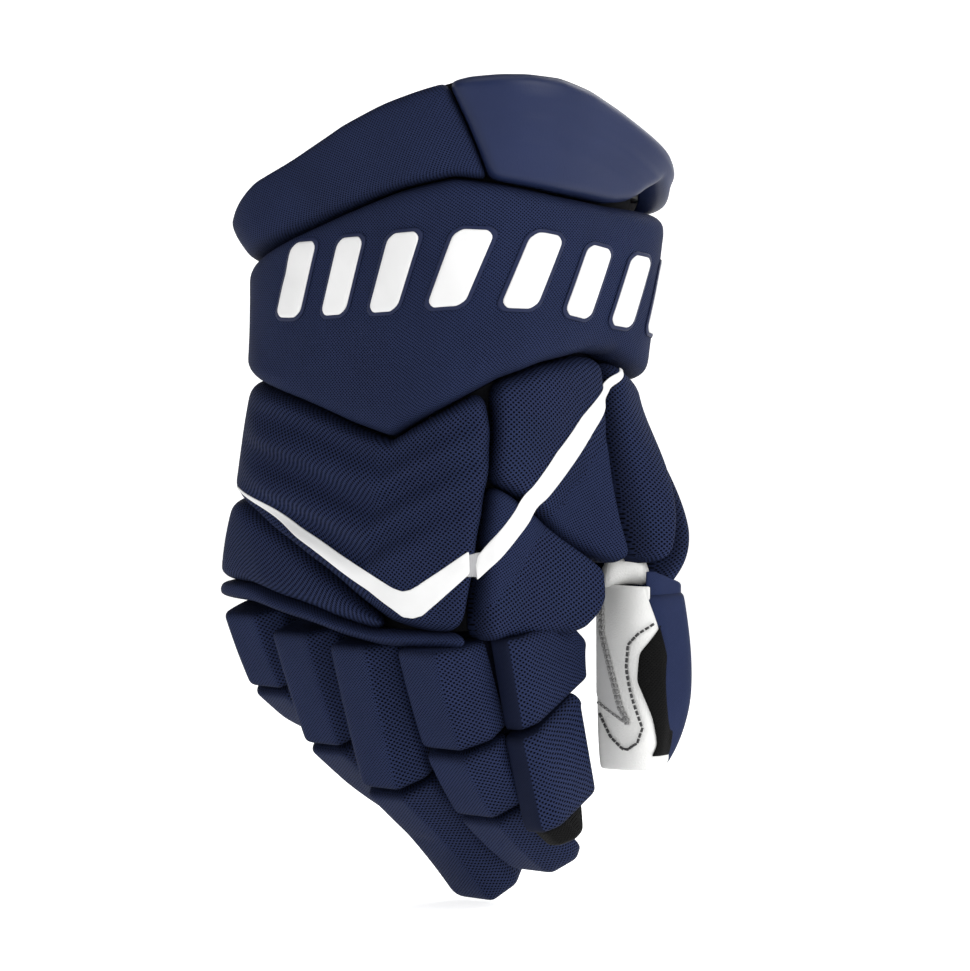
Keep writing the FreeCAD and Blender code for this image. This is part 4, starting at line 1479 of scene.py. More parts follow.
@dataclass
class IndexSide:
    """The two pads on the thumb side of the index finger."""

    finger: Finger
    outside: float = 72.0
    made: list[tuple] = field(default_factory=list)

    def build(self) -> None:
        """Makes both pads."""
        f = self.finger
        inside = f.x + f.width / 2 + 0.4
        spans = (None, 48.0, 60.0)
        backs = (((10, 32.6), (45, 37.5)), ((3, 32.7), (43, 45.0)), ((44, 42.0), (60, 38.0)))
        fronts = (((12, -9.0), (47, -3.5)), ((8, -2.0), (48, 13.0)), ((44, 18.0), (60, 26.0)))
        for at, (k, flex, thin) in enumerate(((0, 45.0, 0.0), (1, 60.0, 0.0), (1, 60.0, 3.0))):
            _, _, depth = f.segments[k]
            start, stop = f.ends(k, 1.6)
            low_start, _ = f.ends(k, -flex - 3.0)
            reach = spans[at]
            out, x0 = self.outside - f.x - thin, inside - f.x
            begin = 44.0 if at == 2 else float(start(depth / 2))
            total = (float(stop(depth / 2)) if reach is None else reach) - begin
            rings, rims = [], []
            places = stations(total, 4.0, 2.6)
            for p in places:
                low, back = (float(np.interp(begin + total * p, *np.array(e[at]).T)) for e in (fronts, backs))
                corners = (
                    (x0, low + 0.5, 1.5), (x0, back, 1.5), (out - 5.0, back, 2.0), (out, back - 6.0, 2.4),
                    (out - 0.5, low, 3.0),
                )
                ring = rounded(corners, 6, 6)
                middle = (low + back) / 2
                d = min(p, 1 - p) * total
                shrink = 3.0 * (1 - math.sqrt(max(0.0, 1 - (1 - min(d / 3.0, 1)) ** 2)))
                x = x0 + (ring[:, 0] - x0) * (1 - shrink / (out - x0))
                y = middle + (ring[:, 1] - middle) * (1 - shrink / (back - low) * 1.3)
                first = np.maximum(start(y), low_start(y)) if at < 2 else 44.0 + 0 * y
                end = stop(y) if reach is None else reach - 0.16 * (y - 13.5)
                end = np.maximum(end, first + 1.0)
                rings.append(np.stack([x, y, first * (1 - p) + end * p], -1))
                rims.append(np.full(len(x), math.exp(-((d / 2.0) ** 2))))
            grid = np.stack(rings, 1)
            before = len(f.rolls)
            f._closed_bar(
                ("index_side_1", "index_side_2", "index_wrap")[at], k, grid, np.stack(rims, 1), ring
            )
            obj, _, n, m = f.rolls.pop(before)
            job = PuffRoom.jobs.pop()
            held = np.zeros(len(obj.data.vertices))
            flat = np.concatenate([grid[..., 0].ravel(), np.full(2 * (n + 1), -99.0)])
            held[flat < x0 + 2.5] = 1.0
            held[np.concatenate([np.stack(rims, 1).ravel() > 0.3, np.ones(2 * (n + 1), bool)])] = 1.0
            PuffRoom.add(job[0], held, 1.5)
            self.made.append((obj, k))

    def finish(self) -> None:
        """Finishes both pads and the wrap below them."""
        wrap, k = self.made.pop()
        wrap.data.materials.append(Cloths.BLACK_MESH.value.material())
        Tailor.refine(wrap)
        Tailor.dress(wrap, f"index_{k + 1}", Cloths.BLACK_MESH, "black_mesh")
        for obj, k in self.made:
            obj.data.materials.append(Cloths.COARSE.value.material())
            obj.data.materials.append(Cloths.GUSSET.value.material())
            # faces turned away from the thumb side take the darker copy: painted shade
            for face in obj.data.polygons:
                if face.normal.x < 0.45:
                    face.material_index = 1
            Tailor.refine(obj)
            Tailor.dress(obj, f"index_{k + 1}", Cloths.COARSE, "navy_mesh", (f"index_side_pad_{k + 1}",))
        log.info("built index side pads")


# ---- thumb and palm ------------------------------------------------------------------------------
@dataclass
class Thumb:
    """The thumb past its root: an L of padding, a mesh stall, and a leather face round its edge."""

    x0: float = 71.3
    x1: float = 97.0
    y0: float = 34.0
    y1: float = 60.0
    top: float = -160.4
    end: float = -231.0
    pad: float = 6.0
    bend: float = 8.0
    obj: bpy.types.Object | None = None

    def outline(self, run: np.ndarray, z: np.ndarray, out: np.ndarray) -> np.ndarray:
        """Points on the thumb's outside.

        Args:
            run: millimetres round it from the edge of the palm face: across, round the bend, then up its side.
            z: heights.
            out: distance off it.

        Returns:
            The points.
        """
        run, z, out = np.broadcast_arrays(*(np.asarray(v, float) for v in (run, z, out)))
        r, flat = self.bend, self.x1 - self.bend - self.x0
        side = self.y1 - self.y0 - 2 * r
        laps = np.cumsum([0, flat, r * math.pi / 2, side, r * math.pi / 2])
        q = np.clip((run - laps[1]) / r, 0, math.pi / 2)
        w = np.clip((run - laps[3]) / r, 0, math.pi / 2)
        turn = q + w
        x = self.x0 + np.minimum(run, flat) + r * np.sin(q) - r * (1 - np.cos(w)) - np.maximum(run - laps[4], 0)
        y = self.y0 + r * (1 - np.cos(q)) + np.clip(run - laps[2], 0, side) + r * np.sin(w)
        place = np.stack([x + out * np.sin(turn), y - out * np.cos(turn)], -1)
        centre = np.array([self.x0 + 9.0, self.y0 + 11.0])
        nose = 1 - np.sqrt(np.clip(1 - (1 - np.clip((z - self.end + 1.5) / 34.0, 0, 1)) ** 2, 0, 1))
        share = np.clip(run / 40.0, 0.22, 1.0)
        place = place + (centre - place) * (nose * 0.55 * share)[..., None]
        return np.concatenate([place, z[..., None]], -1)

    def border(self, z: np.ndarray) -> np.ndarray:
        """How far round the thumb the leather and mesh reach before the padding shows."""
        return np.interp(
            z, (-231, -227.5, -224, -211, -188, -173, -160), (43, 41, 37.0, 35.7, 30.6, 26.7, 22.5)
        )

    def build(self) -> None:
        """Makes the padding."""
        lap = (self.x1 - self.x0) + (self.y1 - self.y0) + (math.pi - 4) * self.bend + self.x1 - self.x0 - self.bend
        total = self.top - self.end
        t, p = np.meshgrid(np.linspace(0, 1, 34), stations(total, 3.0, 2.6), indexing="ij")
        z = self.top - total * p
        run = 19.0 + (lap - 19.0) * t
        d = np.minimum(p, 1 - p) * total
        edge = np.minimum(d, np.minimum(t, 1 - t) * (lap - 19.0))
        shrink = 2.4 * (1 - np.sqrt(np.clip(1 - (1 - np.clip(edge / 2.6, 0, 1)) ** 2, 0, 1)))
        belly = 3.6 * np.sin(math.pi * np.clip(p * 1.05, 0, 1)) * np.sin(math.pi * t) ** 0.7
        outer = self.outline(run, z, belly - shrink)
        deep = self.outline(run, np.maximum(z, self.end + 1.0), -self.pad + 0.3)
        rim = np.exp(-((edge / 2.0) ** 2))
        self.obj = Tailor.shell("thumb_cushion", outer, deep, rim)
        held = np.concatenate([np.where(rim.ravel() > 0.3, 1.0, 0.0), np.ones(rim.size)])
        PuffRoom.add(self.obj, held, 1.3)

    def on_face(self, run: np.ndarray, z: np.ndarray, out: float) -> np.ndarray:
        """Places on the leather face, which bulges between its edges."""
        t = np.clip((self.top - z) / (self.top - self.end), 0, 1)
        bulge = 2.0 * np.sin(math.pi * np.clip(run / 34.0, 0, 1)) * np.sin(math.pi * np.clip(t * 0.9 + 0.1, 0, 1))
        return self.outline(run, z, 1.3 + bulge + out)

    def finish(self) -> None:
        """Finishes the padding and adds the stall, the leather, its overlay and the strip of black mesh."""
        self.obj.data.materials.append(Cloths.SMOOTH.value.material())
        Tailor.refine(self.obj)
        Tailor.dress(self.obj, "thumb", Cloths.SMOOTH, "navy_mesh", ("thumb_pad",))
        heights = np.linspace(self.top + 3.0, self.end - 0.6, 33)
        self.sheet(
            "thumb_palm", Cloths.LEATHER, "palm_leather", heights, lambda z: -1.5 + 0 * z, self.border,
            -0.2, 1.7,
            ("thumb_face",),
        )
        self.sheet(
            "thumb_overlay", Cloths.SUEDE, "grey_suede", np.linspace(-160.0, -212.0, 27),
            lambda z: np.interp(z, (-212, -203, -160), (13.0, -1.0, -1.0)),
            lambda z: np.interp(z, (-213, -206, -195, -177, -160), (17.4, 12.7, 8.5, 1.9, 1.7)), 0.55, 0.7,
        )
        self.sheet(
            "thumb_mesh", Cloths.BLACK_MESH, "black_mesh", np.linspace(-173.0, -225.5, 31),
            lambda z: np.interp(
                z, (-226, -221, -210, -195, -184, -176, -173), (25.0, 27.0, 24.6, 19.9, 20.6, 25.5, 27.5)
            ),
            lambda z: np.minimum(self.border(z), 37.0), 0.5, 0.7,
        )
        self.sleeve("thumb_sleeve", Cloths.SMOOTH, (-151.5, -171.0), (22.0, 62.0), -0.9)
        self.sleeve("thumb_sleeve_face", Cloths.LEATHER, (-157.5, -170.0), (-1.0, 24.0), 0.2)
        self.web()
        self.stall()
        log.info("built thumb")

    def web(self) -> None:
        """The leather roll in the crotch."""
        t = np.linspace(0, 1, 17)
        spine = np.stack([72.0 + 16.5 * t, 32.5 + 11.0 * t, -154.8 + 3.0 * np.sin(math.pi * t) + 1.6 * t], -1)
        turn = np.linspace(0, 2 * math.pi, 20, endpoint=False)
        swell = np.sqrt(np.clip(1 - (2 * t - 1) ** 6, 0.02, 1))
        side, up = np.array([0.643, -0.766, 0.0]), np.array([0.0, 0.0, 1.0])
        rings = []
        for scale in (1.0, 0.72):
            across, along = 5.6 * scale * np.cos(turn), 6.4 * scale * np.sin(turn)
            reach = across[:, None, None] * side + along[:, None, None] * up
            crease = 1 + 0.03 * np.sin(9 * t[None, :] + 2 * turn[:, None])
            rings.append(spine[None] + reach * (swell[None, :] * crease)[..., None])
        obj = Tailor.shell("thumb_web_roll", rings[0], rings[1], np.zeros(rings[0].shape[:2]), wrap=True)
        Tailor.refine(obj)
        Tailor.dress(obj, "hand", Cloths.LEATHER, "palm_leather", ("thumb_web",))
        Tailor.cloth(obj, np.concatenate([rings[0], rings[0][:1]]), "stretched", ["crotch_skin"])

    def sleeve(
        self, name: str, cloth: Cloths, heights: tuple[float, float], runs: tuple[float, float], out: float
    ) -> None:
        """A soft gusset that reaches from the hand at its top to the thumb at its bottom."""
        run, z = np.meshgrid(np.linspace(*runs, 22), np.linspace(*heights, 13), indexing="ij")
        z = z - 0.3 * np.maximum(run - 26.0, 0) * (z - heights[1]) / (heights[0] - heights[1])
        outer, inner = self.outline(run, z, out), self.outline(run, z, out - 1.4)
        obj = Tailor.shell(name, outer, inner, np.zeros(outer.shape[:2]))
        Tailor.refine(obj)
        obj.data.materials.append(cloth.value.material())
        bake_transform(obj)
        Tailor.cloth(obj, outer, "gathered")

    def sheet(
        self, name: str, cloth: Cloths, slot: str, heights: np.ndarray, low: Callable, high: Callable,
        out: float,
        thick: float, nodes: tuple[str, ...] = (),
    ) -> None:
        """A sheet on the face between two lines down it."""
        k, z = np.meshgrid(np.linspace(0, 1, 15), heights, indexing="ij")
        run = low(z) + (high(z) - low(z)) * k
        outer, inner = self.on_face(run, z, out), self.on_face(run, z, out - thick)
        edge = np.minimum(k, 1 - k) * (high(z) - low(z))
        obj = Tailor.shell(name, outer, inner, np.exp(-((edge / 1.0) ** 2)))
        Tailor.refine(obj)
        Tailor.dress(obj, "thumb", cloth, slot, nodes)
        Tailor.cloth(obj, outer, "stretched" if nodes else "laid", ["thumb_stall" if nodes else "thumb_palm"])

    def stall(self) -> None:
        """The mesh stall behind the palm face."""
        x_in, y_in = self.x1 - 9.0, self.y1 - 9.0
        line = [(self.x0, self.y0 + 2.6 + (y_in - 4 - self.y0 - 2.6) * t) for t in np.linspace(0, 1, 6)]
        bend = np.linspace(0, math.pi / 2, 5)[1:]
        line += [(self.x0 + 4 - 4 * math.cos(q), y_in - 4 + 4 * math.sin(q)) for q in bend]
        line += [(self.x0 + 4 + (x_in - self.x0 - 4) * t, y_in) for t in np.linspace(0, 1, 6)[1:]]
        line += [(x_in, y_in - (y_in - self.y0 - 2.6) * t) for t in np.linspace(0, 1, 6)[1:]]
        line = np.array(line)
        centre = np.array([(self.x0 + x_in) / 2, (self.y0 + y_in) / 2])
        outer, inner = [], []
        total = self.top - self.end - 7.0
        for p in stations(total, 2.0, 4.0):
            nose = 1 - math.sqrt(max(0.0, 1 - (1 - min((1 - p) * total / 10.0, 1)) ** 2))
            z = self.top - total * p
            for inset, grids in ((0.0, outer), (1.6, inner)):
                reach = line - centre
                size = np.linalg.norm(reach, axis=1, keepdims=True)
                here = centre + reach * (1 - inset / size) * (1 - nose * 0.5)
                grids.append(np.concatenate([here, np.full((len(here), 1), z)], 1))
        outer, inner = np.stack(outer, 1), np.stack(inner, 1)
        obj = Tailor.shell("thumb_stall", outer, inner, np.zeros(outer.shape[:2]))
        Tailor.refine(obj)
        Tailor.dress(obj, "thumb", Cloths.BLACK_MESH, "black_mesh", ("thumb_gusset",))
        Tailor.cloth(obj, outer, "stretched", ["thumb_cushion"])


@dataclass
class Palm:
    """The linings and leathers of the palm side."""

    def trimmed(self, fingers: Sequence[Finger], clear: float) -> Callable:
        """A trim that ends a sheet where each finger folds."""
        bays = {"index": (24.0, 90.0), "middle": (-10.0, 24.0), "ring": (-42.5, -10.0), "little": (-90.0, -42.5)}

        def trim(angle: np.ndarray, z: np.ndarray, t: np.ndarray) -> np.ndarray:
            """Moves each column up so that its end meets the fold line."""
            place = FORM.point(angle, z, 0.0, -180.0)
            low = np.full(angle.shape, -500.0)
            for finger in fingers:
                x0, x1 = bays[finger.name]
                corners, hinges = finger.lines()
                hinge, normal = hinges[0], along(corners[0][1] - finger.relief)
                here = (place[..., 0] >= x0) & (place[..., 0] < x1)
                limit = hinge[1] - (place[..., 1] - hinge[0]) * normal[0] / normal[1] + clear
                low = np.where(here, limit, low)
            return np.maximum(z, low)

        return trim

    def finish(self, fingers: Sequence[Finger]) -> None:
        """Makes every sheet."""
        trim = self.trimmed(fingers, 0.8)
        Skin(
            "hand_liner", "hand", ("hand_lining",), "lining", Cloths.LINING, (-271, -271), (88.5, 88.5),
            UNDER_BAND, level(-205), -2.0, 0.0, ripple=0.0, trim=trim, swell_to=-180.0,
        ).build()
        Skin(
            "palm_sheet", "hand", ("palm_leather",), "palm_leather", Cloths.LEATHER, (66.6, 63.6),
            (145.5, 165.0),
            level(-70), level(-205), 0.3, 2.1, ripple=0.5, trim=trim,
        ).build()
        Skin(
            "palm_grip", "hand", ("palm_patch",), "grey_suede", Cloths.SUEDE, (72, 68), (134, 130),
            level(-102), level(-158), 2.5, 3.9, ripple=0.45, rests_on=("palm_sheet",), held="laid",
        ).build()
        Skin(
            "thumb_root_skin", "hand", ("thumb_root_leather",), "palm_leather", Cloths.LEATHER, (46.6, 46.6),
            (63, 63), level(ROOT_TOP - 0.6), level(ROOT_BOTTOM), 0.3, 2.6, ripple=0.3,
        ).build()
        Skin(
            "crotch_skin", "hand", ("crotch_leather",), "palm_leather", Cloths.LEATHER, (42, 20), (63, 63),
            level(ROOT_BOTTOM - 0.6), level(-182), 0.3, 2.1, ripple=0.2, trim=trim,
        ).build()
        log.info("built palm sheets")


# ---- trims ---------------------------------------------------------------------------------------
@dataclass
class Draper:
    """Finds the outside of finished pads, so that a trim lies on them."""

    pieces: list[bpy.types.Object]

    def __post_init__(self) -> None:
        """Gathers the pads' faces into one tree."""
        points, faces, base = [], [], 0
        for obj in self.pieces:
            points += [v.co.copy() for v in obj.data.vertices]
            faces += [[base + i for i in p.vertices] for p in obj.data.polygons]
            base = len(points)
        self.tree = BVHTree.FromPolygons(points, faces)

    def lay(self, angle: np.ndarray, z: np.ndarray, lift: float, fallback: float) -> np.ndarray:
        """Points on the pads' outside.

        Args:
            angle: degrees round the hand.
            z: heights.
            lift: how far over the pads.
            fallback: the distance off the lining where no pad is met.

        Returns:
            The points in millimetres.
        """
        high = FORM.point(angle, z, 45.0, 180.0)
        low = FORM.point(angle, z, 0.0, 180.0)
        made = np.zeros(high.shape)
        for index in np.ndindex(*np.shape(angle)):
            start, toward = Vector(high[index] * MM), Vector((low[index] - high[index]).tolist()).normalized()
            hit = self.tree.ray_cast(start, toward, 0.09)
            spot = FORM.point(angle[index], z[index], fallback)
            if hit[0] is not None:
                spot = np.array(hit[0]) / MM
            made[index] = spot - np.array(toward) * lift
        return made


@dataclass
class Stripe:
    """A white stripe laid over the pads between an upper and a lower line."""

    name: str
    upper: tuple
    lower: tuple
    cloth: Cloths = Cloths.MARK
    lift: float = 0.6
    count: int = 60
    rows: int = 7

    def build(self, draper: Draper, body: str) -> None:
        """Makes the stripe."""
        at = np.linspace(0, len(self.upper) - 1, self.count)
        up, low = (
            np.stack([np.interp(at, np.arange(len(line)), np.array(line)[:, i]) for i in range(2)], -1)
            for line in (self.upper, self.lower)
        )
        t = np.linspace(0, 1, self.rows)
        line = up[:, None] * (1 - t[None, :, None]) + low[:, None] * t[None, :, None]
        away = FORM.point(line[..., 0], line[..., 1], 14.0) - FORM.point(line[..., 0], line[..., 1], 13.0)
        away /= np.linalg.norm(away, axis=-1, keepdims=True)
        core = FORM.point(line[..., 0], line[..., 1], 0.0)
        high = np.sum((draper.lay(line[..., 0], line[..., 1], 0.0, 9.0) - core) * away, -1)
        for _ in range(6):
            wide = np.pad(high, 1, mode="edge")
            near = np.stack([wide[:-2, 1:-1], wide[2:, 1:-1], wide[1:-1, :-2], wide[1:-1, 2:]])
            high = np.maximum(high, near.mean(0) * 0.6 + high * 0.4)
        surface, under = (core + away * (high + lift)[..., None] for lift in (self.lift, 0.02))
        rim = np.zeros(surface.shape[:2])
        obj = Tailor.shell(self.name, surface, under, rim)
        Tailor.refine(obj)
        Tailor.dress(obj, body, self.cloth, "palm_leather")
        Tailor.cloth(obj, surface, "laid")


@dataclass
class BandBars:
    """Plain slanted bars in white film on raised navy borders, along the wrist band."""

    first: float = -110.0
    last: float = 34.0
    count: int = 8
    width: float = 12.5
    slant: float = 9.0
    border: float = 1.5

    def middle(self, angle: np.ndarray) -> np.ndarray:
        """The height of the bars' middle line."""
        return np.interp(angle, (-113, -67, -50, -25, 0, 34), (-36, -32, -30, -31.5, -38, -44))

    def tall(self, angle: float) -> float:
        """A bar's height."""
        return float(np.interp(angle, (-113, -67, 34), (30.0, 31.0, 29.0)))

    def bar(self, centre: float, grow: float) -> np.ndarray:
        """A bar's (angle, height) points: across by down, with rounded ends."""
        h, w = self.tall(centre) / 2 + grow, self.width / 2 + grow
        a, b = np.meshgrid(np.linspace(-1, 1, 9), np.linspace(1, -1, 15), indexing="ij")
        r = 2.6 + grow * 0.6
        y = b * h
        squeeze = np.clip((np.abs(y) - (h - r)) / r, 0, 1)
        x = a * (w - r * (1 - np.sqrt(np.clip(1 - squeeze**2, 0, 1))))
        x = x + y / (self.tall(centre) / 2) * self.slant * 0.5
        angle = centre + x / DEGREE
        return np.stack([angle, self.middle(angle) + y], -1)

    def build(self, draper: Draper) -> None:
        """Makes the bars and their borders."""
        for i, centre in enumerate(np.linspace(self.first, self.last, self.count)):
            for label, cloth, grow, lift in (
                ("border", Cloths.RAISED, self.border, 0.7), ("bar", Cloths.MARK, 0.0, 1.25),
            ):
                place = self.bar(float(centre), grow)
                outer = draper.lay(place[..., 0], place[..., 1], lift, 16.0)
                inner = draper.lay(place[..., 0], place[..., 1], 0.05, 16.0)
                obj = Tailor.shell(f"band_{label}_{i + 1}", outer, inner, np.zeros(outer.shape[:2]))
                Tailor.refine(obj)
                Tailor.dress(obj, "cuff", cloth, "palm_leather" if label == "bar" else "smooth_navy")
                Tailor.cloth(obj, outer, "laid", ["wrist_band_pad"])
        log.info("built %d band bars", self.count)


@dataclass
class Stitching:
    """Thread dashes along a line, each a short capsule modelled once and copied."""

    name: str
    body: str
    cloth: Cloths
    length: float = 2.2
    thick: float = 0.55
    pitch: float = 3.4

    def stitch(self) -> tuple[np.ndarray, list]:
        """One stitch's points along x, and its faces, from a bevelled bar."""
        bpy.ops.object.select_all(action="DESELECT")
        bpy.ops.mesh.primitive_cylinder_add(
            vertices=6, radius=self.thick * MM / 2, depth=self.length * MM * 0.7
        )
        obj = bpy.context.object
        bpy.ops.object.mode_set(mode="EDIT")
        bpy.ops.mesh.select_all(action="DESELECT")
        bpy.ops.object.mode_set(mode="OBJECT")
        for face in obj.data.polygons:
            face.select = abs(face.normal.z) > 0.9
        bpy.ops.object.mode_set(mode="EDIT")
        bpy.ops.mesh.extrude_region_move(TRANSFORM_OT_translate={"value": (0, 0, 0)})
        bpy.ops.mesh.inset(thickness=self.thick * MM * 0.22, depth=self.length * MM * 0.12)
        bpy.ops.object.mode_set(mode="OBJECT")
        points = np.array([v.co for v in obj.data.vertices]) / MM
        faces = [tuple(p.vertices) for p in obj.data.polygons]
        bpy.data.objects.remove(obj, do_unlink=True)
        return points[:, [2, 0, 1]], faces

    def build(self, line: np.ndarray, facing: np.ndarray) -> None:
        """Lays stitches along a line of millimetre points whose surface faces the given way."""
        shape, faces = self.stitch()
        run = np.concatenate([[0], np.cumsum(np.linalg.norm(np.diff(line, axis=0), axis=1))])
        places = np.arange(self.pitch / 2, run[-1], self.pitch)
        points, all_faces = [], []
        for at in places:
            here = np.array([np.interp(at, run, line[:, i]) for i in range(3)])
            ahead = np.array([np.interp(at + 0.4, run, line[:, i]) for i in range(3)])
            back = np.array([np.interp(at - 0.4, run, line[:, i]) for i in range(3)])
            up = np.array([np.interp(at, run, facing[:, i]) for i in range(3)])
            x = (ahead - back) / max(np.linalg.norm(ahead - back), 1e-9)
            y = np.cross(up, x)
            y /= max(np.linalg.norm(y), 1e-9)
            z = np.cross(x, y)
            base = sum(len(p) for p in points)
            points.append(here + shape[:, :1] * x + shape[:, 1:2] * y + shape[:, 2:] * z)
            all_faces += [tuple(base + i for i in f) for f in faces]
        if not points:
            return
        whole = np.concatenate(points)
        obj = Tailor.mesh(self.name, whole, all_faces, whole[:, :2], np.zeros(len(whole)))
        Tailor.refine(obj, 0)
        Tailor.dress(obj, self.body, self.cloth, None)


@dataclass
class Trim:
    """The stripe, the band's bars and the stitches."""

    def build(self, hand: list[bpy.types.Object], cuff: list[bpy.types.Object], thumb: Thumb) -> None:
        """Makes every trim."""
        on_hand, on_cuff = Draper(hand), Draper(cuff)
        Stripe(
            "stripe_back",
            (
                (-144, -119.7), (-128.3, -126.5), (-111.3, -134.6), (-85, -143.9), (-63.6, -150.7),
                (-49, -156.8),
                (-44.5, -158), (-41.6, -157.2), (-39.3, -155.2), (-34.5, -149.5), (-28.6, -141.1),
            ),
            (
                (-144, -120.5), (-128.6, -129), (-111.5, -138.6), (-83.8, -149.9), (-61.2, -158.4),
                (-46, -165.6),
                (-40.7, -168.5), (-36.6, -168.9), (-33.8, -167.6), (-30.6, -161.6), (-25.6, -150.3),
            ),
        ).build(on_hand, "hand")
        Stripe(
            "stripe_patch", ((-29.4, -142.9), (-23.6, -142.0)), ((-26.4, -151.6), (-21.0, -152.0)),
            Cloths.PATCH, 0.3, 14,
        ).build(on_hand, "hand")
        Stripe(
            "stripe_side",
            ((-24.6, -145.1), (-16.9, -119.3), (-10.9, -103.2), (-2.3, -89.5), (8.5, -78.6), (18.9, -70.9)),
            ((-21.6, -153.5), (-9.5, -124.5), (-2.7, -110.4), (4.5, -95.9), (12.1, -83.0), (19.5, -71.7)),
        ).build(on_hand, "hand")
        BandBars().build(on_cuff)
        self.thumb_stitches(thumb)
        log.info("built trims")

    def thumb_stitches(self, thumb: Thumb) -> None:
        """Black stitching on the thumb's leather, and the paired seam beside it."""
        tracks = {
            "stitch_curve": (
                (25.0, -172), (20.5, -176), (17.0, -181), (16.2, -190), (19.2, -204.5), (21.6, -214),
                (20.0, -220),
                (16.0, -222.8), (12.7, -222.5), (6.8, -218), (0.5, -208.4),
            ),
            "stitch_seam": (
                (1.2, -161.5), (1.6, -177), (8.0, -195), (12.0, -206.5), (16.4, -212.4), (-0.5, -204.4)
            ),
            "stitch_seam_pair": ((2.6, -161.5), (3.2, -177), (9.8, -195), (13.8, -206.5), (17.6, -212.4)),
        }
        for name, knots in tracks.items():
            knots = np.array(knots, float)
            lap = np.concatenate([[0], np.cumsum(np.hypot(*np.diff(knots, axis=0).T))])
            at = np.linspace(0, lap[-1], 80)
            run, z = (np.interp(at, lap, knots[:, i]) for i in range(2))
            line = thumb.on_face(run, z, 0.8)
            facing = thumb.on_face(run, z, 3.0) - line
            thread = Cloths.THREAD if name == "stitch_curve" else Cloths.GREY_THREAD
            Stitching(name, "thumb", thread, 1.9, 0.55, 2.4).build(line, facing)


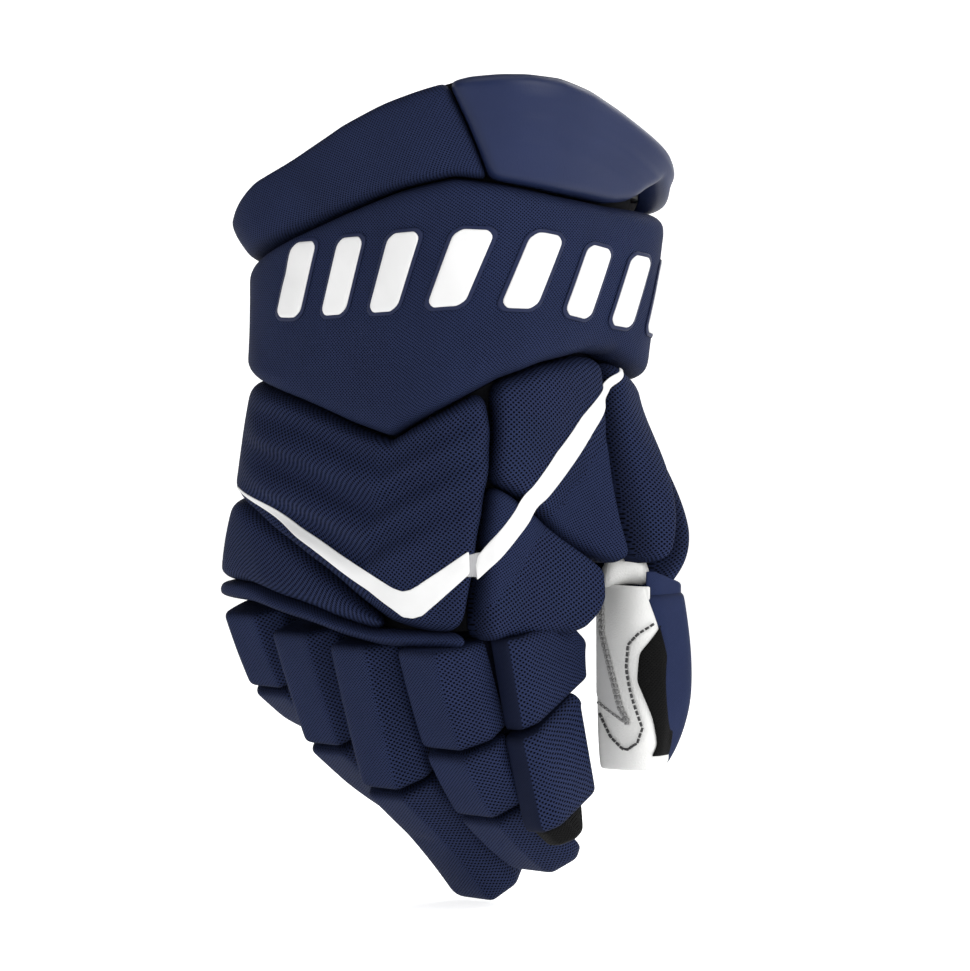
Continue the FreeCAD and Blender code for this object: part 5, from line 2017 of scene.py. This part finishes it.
# ---- studio --------------------------------------------------------------------------------------
@dataclass
class Studio:
    """The floor with its backdrop, soft lights and the camera."""

    target: tuple[float, float, float] = (0.0231, 0.0194, -0.119)
    azimuth: float = 40.0
    elevation: float = 3.0
    distance: float = 2.5
    width: float = 0.391

    def toward(self) -> Vector:
        """The direction from the glove to the camera."""
        a, e = math.radians(self.azimuth), math.radians(self.elevation)
        return Vector((math.sin(a) * math.cos(e), -math.cos(a) * math.cos(e), math.sin(e)))

    def build(self, floor_z: float) -> None:
        """Makes the set."""
        scene = bpy.context.scene
        camera = bpy.data.objects.new("camera", bpy.data.cameras.new("camera"))
        scene.collection.objects.link(camera)
        away = self.toward()
        camera.location = Vector(self.target) + away * self.distance
        camera.rotation_euler = (-away).to_track_quat("-Z", "Y").to_euler()
        camera.data.sensor_width = 36.0
        camera.data.lens = 36.0 * self.distance / self.width
        camera.data.clip_end = 50.0
        scene.camera = camera
        self.floor(floor_z)
        world = bpy.data.worlds.new("studio")
        world.use_nodes = True
        world.node_tree.nodes["Background"].inputs[0].default_value = (1.0, 1.0, 1.0, 1.0)
        world.node_tree.nodes["Background"].inputs[1].default_value = 0.22
        scene.world = world
        side = Vector((math.cos(math.radians(self.azimuth)), math.sin(math.radians(self.azimuth)), 0.0))
        up = Vector((0, 0, 1))
        middle = Vector(self.target)
        self.light("key", middle + away * 0.75 + side * 1.0 + up * 0.75, 0.8, 15.0)
        self.light("fill", middle + away * 1.0 - side * 0.9 + up * 0.5, 1.0, 4.0)
        self.light("rim", middle - away * 0.7 + side * 0.6 + up * 0.7, 0.6, 5.0)
        self.light("top", middle + up * 1.2 + away * 0.1, 0.9, 5.0)

    def floor(self, floor_z: float) -> None:
        """A pale floor that curves up into a backdrop on every side."""
        bpy.ops.object.select_all(action="DESELECT")
        bpy.ops.mesh.primitive_circle_add(vertices=96, radius=3.2, fill_type="NGON", location=(0, 0, floor_z))
        obj = bpy.context.object
        obj.name = "floor"
        bpy.ops.object.mode_set(mode="EDIT")
        bpy.ops.mesh.select_all(action="SELECT")
        bpy.ops.mesh.inset(thickness=0.4)
        bpy.ops.object.mode_set(mode="OBJECT")
        obj.data.transform(obj.matrix_world)
        obj.location = (0, 0, 0)
        obj.data.materials.append(Cloths.FLOOR.value.material())
        obj.data.materials.append(Cloths.WALL.value.material())
        made = bmesh.new()
        made.from_mesh(obj.data)
        edge = [e for e in made.edges if e.is_boundary]
        rise = [(0.5, 0.12), (0.4, 0.35), (0.15, 0.8)]
        for out, up in rise:
            grown = bmesh.ops.extrude_edge_only(made, edges=edge)["geom"]
            for vert in (v for v in grown if isinstance(v, bmesh.types.BMVert)):
                flat = Vector((vert.co.x, vert.co.y, 0)).normalized()
                vert.co += flat * out + Vector((0, 0, up))
            for face in (f for f in grown if isinstance(f, bmesh.types.BMFace)):
                face.material_index, face.smooth = 1, True
            edge = [e for e in grown if isinstance(e, bmesh.types.BMEdge) and e.is_boundary]
        bmesh.ops.recalc_face_normals(made, faces=made.faces)
        bmesh.ops.reverse_faces(made, faces=made.faces)
        made.to_mesh(obj.data)
        made.free()
        obj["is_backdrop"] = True

    def light(self, name: str, place: Vector, size: float, power: float) -> None:
        """A square soft light that looks at the glove."""
        data = bpy.data.lights.new(name, "AREA")
        data.shape, data.size, data.energy = "SQUARE", size, power
        lamp = bpy.data.objects.new(name, data)
        lamp.location = place
        lamp.rotation_euler = (place - Vector(self.target)).to_track_quat("Z", "Y").to_euler()
        bpy.context.scene.collection.objects.link(lamp)


# ---- the glove -----------------------------------------------------------------------------------
def dress_inserts() -> None:
    """Gives the plastic inserts their finish."""
    for name in ("backhand_plate", "cuff_back_plate", "cuff_thumb_plate", "thumb_splint"):
        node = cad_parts[name]
        node.data.materials.clear()
        node.data.materials.append(Cloths.INSERT.value.material())


def main() -> None:
    """Builds the glove in order and reports each piece."""
    logging.basicConfig(level=logging.INFO, format="%(name)s: %(message)s")
    scene = bpy.context.scene
    scene.view_settings.view_transform = "Standard"
    fingers = [
        Finger("index", 41.5, -42.0, -180.0, 32.0, ((22, 47, 54), (37, 35, 48), (54, 38, 41)), nose=8.0, droop=0.15),
        Finger("middle", 6.5, -43.0, -179.5, 31.0, ((19, 66, 57), (55, 66, 49)), nose=12.0, droop=-0.7),
        Finger("ring", -26.5, -41.5, -176.0, 30.0, ((24, 55, 57), (57, 57, 49)), nose=8.0, droop=0.3),
        Finger("little", -57.5, -37.5, -170.0, 28.0, ((28, 39, 54), (58, 44, 46)), nose=6.0),
    ]
    back, side, cuff, thumb, index_side = BackOfHand(), SideOfHand(), Cuff(), Thumb(), IndexSide(fingers[0])
    for part in (back, side, cuff, thumb, *fingers, index_side):
        part.build()
    PuffRoom.run()
    for part in (back, side, cuff, thumb, *fingers, index_side):
        part.finish()
    Palm().finish(fingers)
    dress_inserts()
    Trim().build([p.obj for p in back.pads + side.pads], [p.obj for p in cuff.pads], thumb)
    low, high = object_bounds()
    Studio().build(low[2] - 0.001)


if __name__ == "__main__":
    main()
